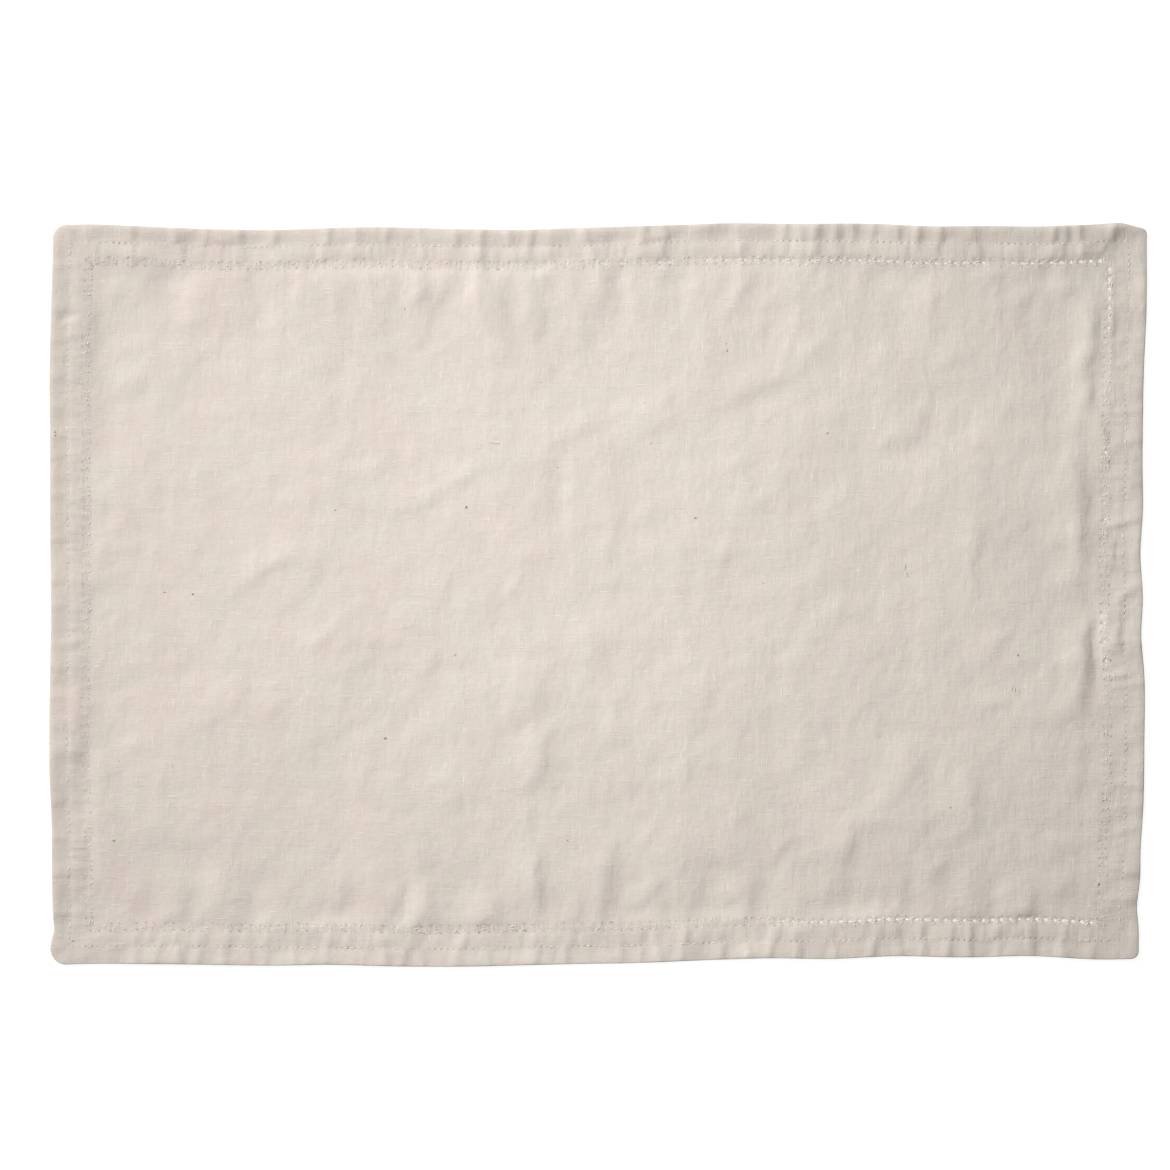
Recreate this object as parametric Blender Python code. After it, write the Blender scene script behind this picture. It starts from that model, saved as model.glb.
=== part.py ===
"""Linen placemat: one rectangle of washed linen with a mitred hem on its four sides.

The cloth lies on a table and is one closed solid. X runs along its long sides,
Y along its short sides and Z up, in metres, with the origin under its middle.

The sheet is worked out in a straight rectangle first. Every place there has a
depth, its distance from the nearest side, which gives the layers of the hem.
The corners are then rounded and the sides moved in and out along their tables,
because washing has drawn the sewn edge into long shallow waves.
"""
from collections import namedtuple

import bmesh
import bpy
import numpy as np
from mathutils.geometry import delaunay_2d_cdt

MM = 0.001
NAME = "linen_mat"

# The straight rectangle of the hemmed mat.
HALF_LENGTH = 249.8 * MM
HALF_WIDTH = 168.4 * MM

# The hem: its folded rim, the lockstitch that holds it and the hemstitched line
# where it ends. A row for each line along the hem, from the rim inwards.
HemLine = namedtuple("HemLine", "depth thickness pucker")
HEM = [
    HemLine(0.0, 1.2, 0.00),
    HemLine(3.0, 2.2, 0.30),
    HemLine(7.7, 1.6, 0.12),
    HemLine(11.0, 2.2, 0.30),
    HemLine(16.7, 1.0, 0.10),
    HemLine(20.5, 1.1, 0.05),
]
HEM_DEPTH = HEM[-1].depth * MM

# The hem draws up between stitches into small cross ridges, unevenly apart.
PUCKER_PITCH = 8.1 * MM
PUCKER_SLANT = 0.25
MITRE_RUN = 14.0 * MM

# Each corner: which side of the middle it is on, and the radius of its turned point.
Corner = namedtuple("Corner", "right top radius")
CORNERS = [
    Corner(False, True, 6.0),
    Corner(True, True, 1.8),
    Corner(False, False, 7.6),
    Corner(True, False, 3.6),
]
ROUNDING_DEPTH = 18.0 * MM
ROUNDING_RUNS = [0.0, 2.2, 4.6, 7.8]

# How far each side stands out of the straight rectangle along its length, in mm.
Wave = namedtuple("Wave", "along out")
TOP_EDGE = [
    Wave(-250, 0.6), Wave(-232, 1.0), Wave(-205, -0.1), Wave(-180, -1.1), Wave(-150, -1.5),
    Wave(-104, -0.2), Wave(-68, -1.0), Wave(-40, -1.5), Wave(-4, -0.5), Wave(35, 0.7),
    Wave(60, 1.6), Wave(88, 1.3), Wave(124, 1.3), Wave(152, 0.1), Wave(179, 0.3),
    Wave(198, 0.0), Wave(225, 0.9), Wave(238, 1.6), Wave(250, -1.4),
]
BOTTOM_EDGE = [
    Wave(-250, 0.9), Wave(-232, 0.3), Wave(-196, 0.5), Wave(-150, 1.1), Wave(-123, 0.8),
    Wave(-86, 1.6), Wave(-59, 1.6), Wave(-22, 0.7), Wave(24, -0.2), Wave(42, -1.0),
    Wave(79, -2.2), Wave(106, -1.9), Wave(134, -3.1), Wave(170, -2.6), Wave(198, -3.2),
    Wave(234, -1.6), Wave(250, -1.9),
]
LEFT_EDGE = [
    Wave(-168, 0.6), Wave(-159, 0.5), Wave(-152, -1.0), Wave(-145, -0.5), Wave(-131, -0.1),
    Wave(-104, 0.1), Wave(-83, 1.0), Wave(-49, 1.0), Wave(-8, 0.4), Wave(20, 0.7),
    Wave(68, 0.8), Wave(102, 1.0), Wave(136, 0.1), Wave(157, -0.5), Wave(168, -0.6),
]
RIGHT_EDGE = [
    Wave(-168, -2.6), Wave(-154, -2.7), Wave(-145, -3.4), Wave(-131, -2.0), Wave(-118, -1.8),
    Wave(-97, -0.5), Wave(-83, -0.2), Wave(-35, -0.2), Wave(-20, -1.5), Wave(-1, -0.8),
    Wave(19, -1.9), Wave(40, -0.7), Wave(61, -0.9), Wave(102, -0.3), Wave(129, 0.9),
    Wave(143, 1.0), Wave(168, 1.0),
]
WAVE_REACH = 80.0 * MM

# The main folds left by washing, each a soft ridge: the place of its middle, its
# length, half width and bow in mm, its direction in degrees from X, and its height.
Fold = namedtuple("Fold", "x y length width bow angle height")
FOLDS = [
    Fold(-115, 27, 112, 6.0, 4, 27, 0.8),
    Fold(-160, -52, 70, 7.0, -5, 62, 0.5),
    Fold(-196, 60, 60, 6.0, 3, 84, 0.5),
    Fold(-40, 117, 32, 4.5, 1, 88, 0.7),
    Fold(-78, -62, 58, 6.5, 4, 40, 0.5),
    Fold(-22, -77, 28, 4.0, 1, 80, 0.6),
    Fold(-10, -134, 28, 4.0, 0, 84, 0.7),
    Fold(3, 55, 42, 5.0, 2, 86, 0.6),
    Fold(19, 33, 30, 4.0, 1, 82, 0.5),
    Fold(14, -131, 24, 3.6, 0, 62, 0.6),
    Fold(67, 92, 92, 5.0, 6, 24, 0.9),
    Fold(64, 133, 34, 4.0, 1, 56, 0.7),
    Fold(88, 137, 26, 4.0, -1, 62, 0.6),
    Fold(118, -126, 32, 4.2, 2, 68, 0.8),
    Fold(157, -135, 24, 4.0, 0, 86, 0.7),
    Fold(138, 75, 44, 5.5, 2, 72, 0.6),
    Fold(154, 130, 24, 4.0, 0, 86, 0.7),
    Fold(169, -101, 30, 4.4, 1, 88, 0.7),
    Fold(176, 22, 54, 5.0, -2, 90, 0.8),
    Fold(125, -46, 60, 6.5, 4, 48, 0.5),
    Fold(219, 34, 48, 3.6, 1, 88, 1.3),
    Fold(222, -26, 52, 3.6, -2, 80, 1.4),
    Fold(224, 127, 28, 3.4, 0, 88, 1.0),
    Fold(222, -108, 40, 4.0, 2, 84, 0.8),
]
FOLD_STATION = 7.0 * MM

# Between the folds the field rises and falls in broad low swells.
SWELL_HEIGHT = 0.34 * MM
SWELL_LENGTH = 96.0 * MM
SWELL_WIDTH = 71.0 * MM

# The underside touches the table until the cloth is lifted by more than this.
UNDERSIDE_SLACK = 0.45 * MM

FIELD_SPACING = 13.5 * MM
LEAST_SPACING = 2.0 * MM
FOLD_CLEARANCE = 5.5 * MM


def smooth_through(rows, at):
    """A cubic curve through a table of waves, each slope taken from its neighbours."""
    along, out = np.array(rows, dtype=float).T * MM
    slope = np.gradient(out, along)
    first = np.clip(np.searchsorted(along, at) - 1, 0, len(along) - 2)
    step = along[first + 1] - along[first]
    t = np.clip((at - along[first]) / step, 0.0, 1.0)
    rise = t * t * (3.0 - 2.0 * t)
    start = out[first] + step * slope[first] * t * (1.0 - t) ** 2
    end = out[first + 1] - step * slope[first + 1] * t * t * (1.0 - t)
    return start * (1.0 - rise) + end * rise


def ease(value, low, high):
    """0 below low, 1 above high, and a smooth step between them."""
    t = np.clip((value - low) / (high - low), 0.0, 1.0)
    return t * t * (3.0 - 2.0 * t)


def side_depths(points):
    """Each point's distance in from the nearer short side and from the nearer long side."""
    x, y = points.T
    return HALF_LENGTH - np.abs(x), HALF_WIDTH - np.abs(y)


def round_corners(points):
    """Turns the sharp corners of the lines around the mat into arcs, less so further in."""
    x, y = points.T
    from_short, from_long = side_depths(points)
    depth = np.minimum(from_short, from_long)
    run = np.abs(from_short - from_long)
    radius = np.zeros(len(points))
    for corner in CORNERS:
        here = ((x > 0) == corner.right) & ((y > 0) == corner.top)
        radius[here] = corner.radius * MM
    radius = np.maximum(radius * (1.0 - depth / ROUNDING_DEPTH), 1e-9)
    turn = np.pi / 4.0 * np.clip(1.0 - run / radius, 0.0, 1.0)
    near = radius * (1.0 - np.cos(turn))
    far = radius * (1.0 - np.sin(turn)) - np.minimum(run, radius)
    short_is_near = from_short < from_long
    shift_x = np.where(short_is_near, near, far)
    shift_y = np.where(short_is_near, far, near)
    return np.column_stack([x - np.sign(x) * shift_x, y - np.sign(y) * shift_y])


def lay_out(points):
    """Moves points of the straight rectangle to where they lie in the washed mat."""
    x, y = points.T
    from_short, from_long = side_depths(points)
    out_x = np.where(x > 0, smooth_through(RIGHT_EDGE, y), -smooth_through(LEFT_EDGE, y))
    out_y = np.where(y > 0, smooth_through(TOP_EDGE, x), -smooth_through(BOTTOM_EDGE, x))
    hold_x = 1.0 - ease(from_short, HEM_DEPTH, WAVE_REACH)
    hold_y = 1.0 - ease(from_long, HEM_DEPTH, WAVE_REACH)
    moved = round_corners(points)
    return moved + np.column_stack([out_x * hold_x, out_y * hold_y])


def pucker_phase(along):
    """Which cross ridge of the hem a place along a side is on; whole numbers are crests."""
    uneven = 0.38 * np.sin(along / (11.0 * MM)) + 0.55 * np.sin(along / (27.0 * MM) + 1.0)
    return along / PUCKER_PITCH + uneven


def hem_height(points):
    """Thickness of the layers by depth, with the cross ridges, which die out at the mitres."""
    from_short, from_long = side_depths(points)
    depth = np.minimum(from_short, from_long)
    run = np.abs(from_short - from_long)
    along = np.where(from_short < from_long, points[:, 1], points[:, 0])
    line_depth, thickness, pucker = np.array(HEM).T * MM
    wave = np.cos(2.0 * np.pi * pucker_phase(along + PUCKER_SLANT * depth))
    ridge = np.interp(depth, line_depth, pucker, right=0.0) * ease(run, 0.0, MITRE_RUN)
    return np.interp(depth, line_depth, thickness) + wave * ridge


def fold_frame(fold):
    """A fold's middle, the unit vector along it and the one across it."""
    angle = np.radians(fold.angle)
    along = np.array([np.cos(angle), np.sin(angle)])
    across = np.array([-np.sin(angle), np.cos(angle)])
    return np.array([fold.x, fold.y]) * MM, along, across


def lift(points):
    """How far the cloth stands off the table: broad swells, and the highest fold there."""
    x, y = points.T
    from_short, from_long = side_depths(points)
    swell = np.cos(x / SWELL_LENGTH * 2 * np.pi + 2.2 * np.sin(y / SWELL_WIDTH * np.pi))
    swell = SWELL_HEIGHT * (0.5 + 0.5 * swell)
    swell = swell * ease(np.minimum(from_short, from_long), HEM_DEPTH, 3.0 * HEM_DEPTH)
    highest = np.zeros(len(points))
    for fold in FOLDS:
        middle, along, across = fold_frame(fold)
        run = (points - middle) @ along / (0.5 * fold.length * MM)
        side = (points - middle) @ across - fold.bow * MM * (1.0 - run * run)
        taper = np.clip(1.0 - run * run, 0.0, 1.0)
        ridge = fold.height * MM * taper * np.exp(-((side / (fold.width * MM)) ** 2))
        highest = np.maximum(highest, ridge)
    return swell + highest


def side_stations(half):
    """Places along a side: each crest and dip of the hem, and those that round its ends."""
    fine = np.linspace(-half, half, 4000)
    phase = pucker_phase(fine)
    halves = np.arange(np.ceil(2 * phase[0]), 2 * phase[-1]) / 2
    crests = np.interp(halves, phase, fine)
    ends = half - np.array(ROUNDING_RUNS) * MM
    crests = crests[np.abs(crests) < ends.min() - LEAST_SPACING]
    return np.concatenate([-ends, crests, ends[::-1]])


def hem_line_points(depth):
    """Points all round the mat at one depth, each side between its two mitres."""
    sides = []
    for half_run, half_other, swap in (
        (HALF_LENGTH, HALF_WIDTH, False),
        (HALF_WIDTH, HALF_LENGTH, True),
    ):
        along = side_stations(half_run)
        along = along[np.abs(along) <= half_run - depth + 1e-9]
        for sign in (-1, 1):
            other = np.full(len(along), sign * (half_other - depth))
            pair = [other, along] if swap else [along, other]
            sides.append(np.column_stack(pair))
    corner = np.array([HALF_LENGTH - depth, HALF_WIDTH - depth])
    corners = corner * np.array([[-1, -1], [1, -1], [1, 1], [-1, 1]])
    return np.vstack([corners] + sides)


def fold_points():
    """Points along each fold's ridge and along both its feet."""
    found = []
    for fold in FOLDS:
        middle, along, across = fold_frame(fold)
        count = max(3, round(fold.length * MM / FOLD_STATION))
        for run in np.linspace(-0.92, 0.92, count):
            ridge = middle + along * run * fold.length * MM / 2
            ridge = ridge + across * fold.bow * MM * (1.0 - run * run)
            for step in (0.0, -1.35, 1.35):
                found.append(ridge + across * step * fold.width * MM)
    return np.array(found)


def field_points():
    """An even grid of points over the field inside the hem."""
    rows = []
    for half in (HALF_LENGTH, HALF_WIDTH):
        reach = half - HEM_DEPTH - 0.6 * FIELD_SPACING
        rows.append(np.linspace(-reach, reach, round(2 * reach / FIELD_SPACING) + 1))
    x, y = np.meshgrid(*rows)
    return np.column_stack([x.ravel(), y.ravel()])


def thin_out(kept, added, gap):
    """Adds the points that lie at least gap from all that are kept."""
    kept = list(kept)
    for point in added:
        if np.min(np.sum((np.array(kept) - point) ** 2, axis=1)) >= gap * gap:
            kept.append(point)
    return np.array(kept)


def inside_hem(points):
    """The points that lie in the field, clear of the hem's last line."""
    from_short, from_long = side_depths(points)
    return points[np.minimum(from_short, from_long) > HEM_DEPTH + LEAST_SPACING]


def surface_points(hem_lines):
    """The outline first, then the hem's lines, the folds and the field."""
    points = thin_out(hem_line_points(0.0)[:1], hem_line_points(0.0), 0.5 * MM)
    outline_count = len(points)
    for line in hem_lines:
        points = thin_out(points, hem_line_points(line.depth * MM), 0.75 * LEAST_SPACING)
    points = thin_out(points, inside_hem(fold_points()), LEAST_SPACING)
    points = thin_out(points, inside_hem(field_points()), FOLD_CLEARANCE)
    return points, outline_count


def triangles_between(points):
    """Delaunay triangles over the points, which fill the straight rectangle."""
    scaled = [tuple(point) for point in points / MM]
    result = delaunay_2d_cdt(scaled, [], [], 0, 1e-6)
    original = [sources[0] for sources in result[3]]
    return [[original[corner] for corner in face] for face in result[2]]


def outline_order(points, count):
    """The outline's points in order round the mat, by their direction from its middle."""
    x, y = points[:count].T
    return np.argsort(np.arctan2(y / HALF_WIDTH, x / HALF_LENGTH))


def add_surface(bm, flat_points, heights):
    """Adds one side of the cloth to the mesh and returns its vertices."""
    laid = lay_out(flat_points)
    verts = [bm.verts.new((x, y, z)) for (x, y), z in zip(laid, heights)]
    for face in triangles_between(flat_points):
        bm.faces.new([verts[corner] for corner in face])
    return verts


def cloth_mesh():
    """The closed sheet: its upper side, its underside and the folded rim between them."""
    bm = bmesh.new()
    upper, count = surface_points(HEM[1:])
    under, under_count = surface_points(HEM[-1:])
    top = add_surface(bm, upper, hem_height(upper) + lift(upper))
    bottom = add_surface(bm, under, np.maximum(lift(under) - UNDERSIDE_SLACK, 0.0))
    order = outline_order(upper, count)
    for here, there in zip(order, np.roll(order, -1)):
        bm.faces.new([bottom[here], bottom[there], top[there], top[here]])
    bmesh.ops.recalc_face_normals(bm, faces=bm.faces)
    mesh = bpy.data.meshes.new(NAME)
    bm.to_mesh(mesh)
    bm.free()
    return mesh


def centre_on_outline(mesh):
    """Puts the middle of the mat's bounding rectangle over the origin."""
    places = np.array([vertex.co[:2] for vertex in mesh.vertices])
    middle = (places.min(axis=0) + places.max(axis=0)) / 2
    for vertex in mesh.vertices:
        vertex.co.x -= middle[0]
        vertex.co.y -= middle[1]


def linen_material():
    """Undyed washed linen: a pale warm grey with a dry, matt face."""
    material = bpy.data.materials.new("natural_linen")
    material.use_nodes = True
    shader = material.node_tree.nodes["Principled BSDF"]
    shader.inputs["Base Color"].default_value = (0.72, 0.64, 0.57, 1.0)
    shader.inputs["Roughness"].default_value = 0.9
    shader.inputs["Metallic"].default_value = 0.0
    return material


def main():
    for old in list(bpy.data.objects):
        bpy.data.objects.remove(old, do_unlink=True)
    mesh = cloth_mesh()
    centre_on_outline(mesh)
    mesh.materials.append(linen_material())
    mesh.shade_smooth()
    mesh.set_sharp_from_angle(angle=np.radians(60.0))
    collection = bpy.data.collections.new("placemat")
    bpy.context.scene.collection.children.link(collection)
    collection.objects.link(bpy.data.objects.new(NAME, mesh))


main()
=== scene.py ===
"""The looks of a washed linen placemat that lies on a pale table, seen from above.

The mat is one sheet of plain-weave linen with a mitred hem. A lockstitch holds the
hem, and a line of hemstitch runs where the hem ends: a row of small holes, with
the cloth between them drawn into bars by the thread.

Every shape is first worked out in a straight rectangle, where a place has a depth,
its distance from the nearest side, and an along, its distance along that side.
lay_out() then moves it to where it lies in the washed mat. The tables are in mm,
and places and the constants with MM are in metres.
"""
from collections import namedtuple

import bpy
import numpy as np
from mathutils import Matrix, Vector


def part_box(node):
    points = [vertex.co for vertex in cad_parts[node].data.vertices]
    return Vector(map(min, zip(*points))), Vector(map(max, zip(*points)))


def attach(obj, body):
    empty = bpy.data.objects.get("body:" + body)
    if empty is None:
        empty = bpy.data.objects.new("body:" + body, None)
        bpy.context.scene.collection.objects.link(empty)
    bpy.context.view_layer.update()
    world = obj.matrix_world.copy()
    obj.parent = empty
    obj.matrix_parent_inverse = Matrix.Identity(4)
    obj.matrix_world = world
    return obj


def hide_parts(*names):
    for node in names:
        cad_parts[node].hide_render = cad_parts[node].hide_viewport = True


bl_info = {
    "name": "Washed Linen Placemat",
    "version": (1, 0, 0),
    "blender": (4, 5, 0),
    "location": "View3D > Sidebar > Placemat",
    "description": "Builds a hemstitched linen placemat and the table that it lies on",
    "category": "Add Mesh",
}

MM = 0.001
NODE = "linen_mat"
BODY = "root"

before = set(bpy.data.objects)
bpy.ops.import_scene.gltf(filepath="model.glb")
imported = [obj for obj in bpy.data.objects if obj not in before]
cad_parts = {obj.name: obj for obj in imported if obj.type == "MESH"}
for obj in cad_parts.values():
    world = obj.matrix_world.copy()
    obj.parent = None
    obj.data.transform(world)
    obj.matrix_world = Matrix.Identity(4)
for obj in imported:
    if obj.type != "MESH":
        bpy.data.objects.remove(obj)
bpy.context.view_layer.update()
MAT_LOW, MAT_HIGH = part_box(NODE)

# ---------------------------------------------------------------- shape tables, in mm


def named_rows(kind, rows):
    """Rows of numbers as named tuples of one kind."""
    return [kind(*row) for row in rows]


# A value or a table for each side. The top and the bottom are the long sides.
Sides = namedtuple("Sides", "top bottom left right")

# How far each side stands out of the straight rectangle along its length.
Wave = namedtuple("Wave", "along out")
TOP_EDGE = named_rows(Wave, [
    (-250, 0.6), (-232, 1.0), (-205, -0.1), (-180, -1.1), (-150, -1.5), (-104, -0.2), (-68, -1.0),
    (-40, -1.5), (-4, -0.5), (35, 0.7), (60, 1.6), (88, 1.3), (124, 1.3), (152, 0.1), (179, 0.3),
    (198, 0.0), (225, 0.9), (238, 1.6), (250, -1.4),
])
BOTTOM_EDGE = named_rows(Wave, [
    (-250, 0.9), (-232, 0.3), (-196, 0.5), (-150, 1.1), (-123, 0.8), (-86, 1.6), (-59, 1.6), (-22, 0.7),
    (24, -0.2), (42, -1.0), (79, -2.2), (106, -1.9), (134, -3.1), (170, -2.6), (198, -3.2), (234, -1.6),
    (250, -1.9),
])
LEFT_EDGE = named_rows(Wave, [
    (-168, 0.6), (-159, 0.5), (-152, -1.0), (-145, -0.5), (-131, -0.1), (-104, 0.1), (-83, 1.0),
    (-49, 1.0), (-8, 0.4), (20, 0.7), (68, 0.8), (102, 1.0), (136, 0.1), (157, -0.5), (168, -0.6),
])
RIGHT_EDGE = named_rows(Wave, [
    (-168, -2.6), (-154, -2.7), (-145, -3.4), (-131, -2.0), (-118, -1.8), (-97, -0.5), (-83, -0.2),
    (-35, -0.2), (-20, -1.5), (-1, -0.8), (19, -1.9), (40, -0.7), (61, -0.9), (102, -0.3), (129, 0.9),
    (143, 1.0), (168, 1.0),
])
EDGES = Sides(TOP_EDGE, BOTTOM_EDGE, LEFT_EDGE, RIGHT_EDGE)
# The waves are whole as far in as HEM_DEPTH, and fade from there to WAVE_REACH.
# EDGE_STEPS places are tried along a side to find how far it stands out most.
WAVE_REACH = 80.0 * MM
EDGE_STEPS = 5000

# Each corner: which side of the middle it is on, and the radius of its turned point,
# which shrinks to nothing at ROUNDING_DEPTH.
Corner = namedtuple("Corner", "right top radius")
CORNERS = named_rows(Corner, [
    (False, True, 6.0), (True, True, 1.8), (False, False, 7.6), (True, False, 3.6),
])
ROUNDING_DEPTH = 18.0 * MM

# Height of the cloth's right side by depth: the rolled rim, the padded band outside the
# lockstitch, the second one inside it, and the single cloth of the field.
Layer = namedtuple("Layer", "depth height")
SECTION = named_rows(Layer, [
    (-1.0, 1.66), (0.0, 1.70), (0.9, 1.77), (1.7, 1.79), (2.7, 1.75), (3.7, 1.67), (4.6, 1.58),
    (5.5, 1.50), (6.4, 1.43), (7.3, 1.37), (8.2, 1.30), (9.2, 1.25), (10.1, 1.23), (11.0, 1.22),
    (11.9, 1.19), (12.8, 1.15), (13.7, 1.12), (14.6, 1.10), (15.6, 1.07), (16.5, 1.02), (17.4, 0.96),
    (18.3, 0.90), (19.2, 0.83), (20.2, 0.77), (21.2, 0.72), (23.0, 0.64), (26.0, 0.57), (30.0, 0.55),
    (400.0, 0.55),
])
# The depth over which the folded rim is rounded off.
RIM_ROUND = 0.21 * MM
# How much lower each side's rim lies in mm, fading inwards over RIM_FADE, and how much
# higher the top hem's outer band is than the others', down a slope between two depths.
# Two sides' values blend within CORNER_BLEND of their corner.
RIM_DROP = Sides(top=0.16, bottom=-0.25, left=0.20, right=0.03)
RIM_FADE = 1.3 * MM
TOP_BAND = 0.26
BAND_SLOPE = (1.0 * MM, 7.6 * MM)
CORNER_BLEND = 7 * MM
# Depths of the lockstitch, of the middle of the holes and of the end of the hem.
STITCH_DEPTH = 8.1 * MM
HOLE_DEPTH = 16.9 * MM
HEM_DEPTH = 20.5 * MM

# Small ridges across the hem, where the sewing draws it up: their place along the
# side, their strength outside and inside the lockstitch, and how far they run on
# into the field.
Pucker = namedtuple("Pucker", "along outer inner reach")
TOP_PUCKERS = named_rows(Pucker, [
    (-214, 0.9, 0.5, 0), (-193, 1.0, 0.6, 8), (-180, 0.8, 0.4, 0), (-163, 1.1, 0.8, 12),
    (-148, 1.0, 0.5, 0), (-124, 1.2, 0.9, 16), (-110, 0.9, 0.7, 0), (-97, 1.1, 0.5, 8),
    (-81, 0.8, 0.8, 0), (-65, 0.9, 0.4, 14), (-54, 1.0, 0.8, 22), (-40, 0.8, 0.6, 0),
    (-31, 1.1, 0.5, 0), (-22, 0.8, 0.8, 10), (-5, 0.9, 0.7, 0), (20, 1.3, 0.4, 0), (31, 0.9, 0.7, 8),
    (64, 0.5, 0.9, 12), (85, 1.2, 0.8, 0), (93, 0.9, 0.5, 0), (99, 1.1, 0.8, 14), (109, 1.0, 0.6, 0),
    (117, 1.2, 0.7, 0), (125, 0.9, 0.9, 10), (137, 1.2, 0.8, 0), (146, 1.3, 0.9, 18),
    (156, 1.1, 0.7, 22), (172, 0.7, 0.8, 0), (207, 1.4, 1.1, 0), (213, 1.3, 1.2, 8), (219, 1.2, 0.9, 0),
    (234, 1.0, 0.6, 0),
])
BOTTOM_PUCKERS = named_rows(Pucker, [
    (-211, 1.0, 0.5, 0), (-201, 0.9, 0.7, 6), (-192, 1.1, 0.6, 0), (-182, 1.0, 0.5, 10),
    (-171, 1.1, 0.7, 0), (-160, 0.9, 0.6, 0), (-151, 1.0, 0.8, 8), (-139, 1.1, 0.5, 0),
    (-124, 1.0, 0.9, 12), (-112, 0.6, 0.7, 0), (-98, 1.0, 0.6, 0), (-88, 1.1, 0.8, 0),
    (-81, 0.8, 0.5, 14), (-71, 1.0, 0.7, 0), (-64, 0.9, 0.8, 0), (-51, 1.1, 0.6, 8),
    (-28, 1.0, 0.8, 16), (-15, 1.2, 0.9, 0), (10, 1.0, 0.6, 12), (20, 0.9, 0.8, 0), (27, 1.0, 0.7, 0),
    (38, 1.1, 0.9, 10), (57, 1.2, 0.8, 0), (68, 1.0, 0.6, 0), (79, 1.1, 0.9, 8), (91, 1.0, 0.7, 0),
    (108, 1.2, 0.8, 0), (126, 1.4, 0.7, 14), (137, 1.2, 0.9, 0), (149, 1.3, 0.8, 0),
    (160, 1.4, 1.2, 16), (169, 1.2, 1.0, 0), (184, 1.0, 0.8, 0), (199, 0.9, 0.7, 8), (214, 0.8, 0.8, 0),
    (229, 0.9, 0.6, 0),
])
LEFT_PUCKERS = named_rows(Pucker, [
    (-145, 1.1, 0.7, 0), (-127, 1.0, 0.8, 0), (-112, 1.2, 0.8, 8), (-94, 1.1, 0.7, 0),
    (-76, 0.5, 0.4, 14), (-60, 0.6, 0.4, 0), (-46, 0.9, 0.6, 0), (-34, 1.0, 0.7, 6), (-23, 1.1, 0.6, 0),
    (-5, 1.0, 0.8, 0), (6, 1.1, 0.7, 8), (26, 1.2, 0.8, 0), (45, 1.1, 0.6, 0), (63, 1.0, 0.8, 0),
    (73, 0.9, 0.6, 6), (85, 1.1, 0.7, 0), (100, 1.2, 0.8, 0), (116, 1.0, 0.7, 8), (123, 0.9, 0.6, 0),
    (131, 1.0, 0.7, 0), (149, 1.1, 0.5, 0),
])
RIGHT_PUCKERS = named_rows(Pucker, [
    (-141, 1.0, 0.7, 0), (-128, 1.1, 0.7, 0), (-108, 0.7, 0.8, 8), (-87, 1.1, 0.7, 0),
    (-66, 0.7, 0.6, 0), (-41, 1.2, 0.9, 0), (-21, 0.8, 0.8, 0), (3, 1.2, 0.8, 6), (12, 1.0, 1.2, 0),
    (26, 0.9, 0.7, 0), (34, 1.1, 0.8, 0), (52, 0.7, 0.7, 8), (70, 1.0, 0.6, 0), (84, 1.0, 0.8, 0),
    (101, 1.2, 0.7, 0), (117, 0.8, 0.8, 0), (132, 1.1, 0.7, 6), (148, 0.9, 0.6, 0),
])
PUCKER_HEIGHT = 0.42 * MM
PUCKER_RISE = 2.8 * MM
PUCKER_FALL = 1.8 * MM
# Each leans by up to PUCKER_SLANT along the side for its depth, about MID_HEM, and its
# inner half lies up to PUCKER_JOG aside. One that runs on into the field grows there
# between the two depths of INTO_FIELD, to FIELD_SHARE of its height.
PUCKER_SLANT = 0.16
PUCKER_JOG = 2.0 * MM
MID_HEM = 7.7
INTO_FIELD = (17.5, 20.0)
FIELD_SHARE = 0.7
# Depths where a band's puckers start, are whole, begin to fall and end.
OUTER_BAND = (-2.5, 1.5, 6.0, 9.4)
INNER_BAND = (6.8, 9.6, 12.6, 16.8)
LEFT_WELT = (8.4, 10.2, 11.0, 17.5)
RIGHT_WELT = (2.0, 12.8, 12.9, 15.3)
# How strong they, the waves and puffs between them, and the welts are on each side.
PUCKER_SHARE = Sides(top=1.0, bottom=0.88, left=0.48, right=0.62)
WAVE_SHARE = Sides(top=1.0, bottom=1.0, left=0.5, right=0.9)
PUFF_SHARE = Sides(top=0.72, bottom=0.72, left=0.55, right=0.55)
WELT_SHARE = Sides(top=0.0, bottom=0.0, left=0.2, right=-0.24)
# They all grow from nothing at the mitres, over this distance along the side in mm.
CORNER_CALM = (1.0, 12.0)

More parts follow.
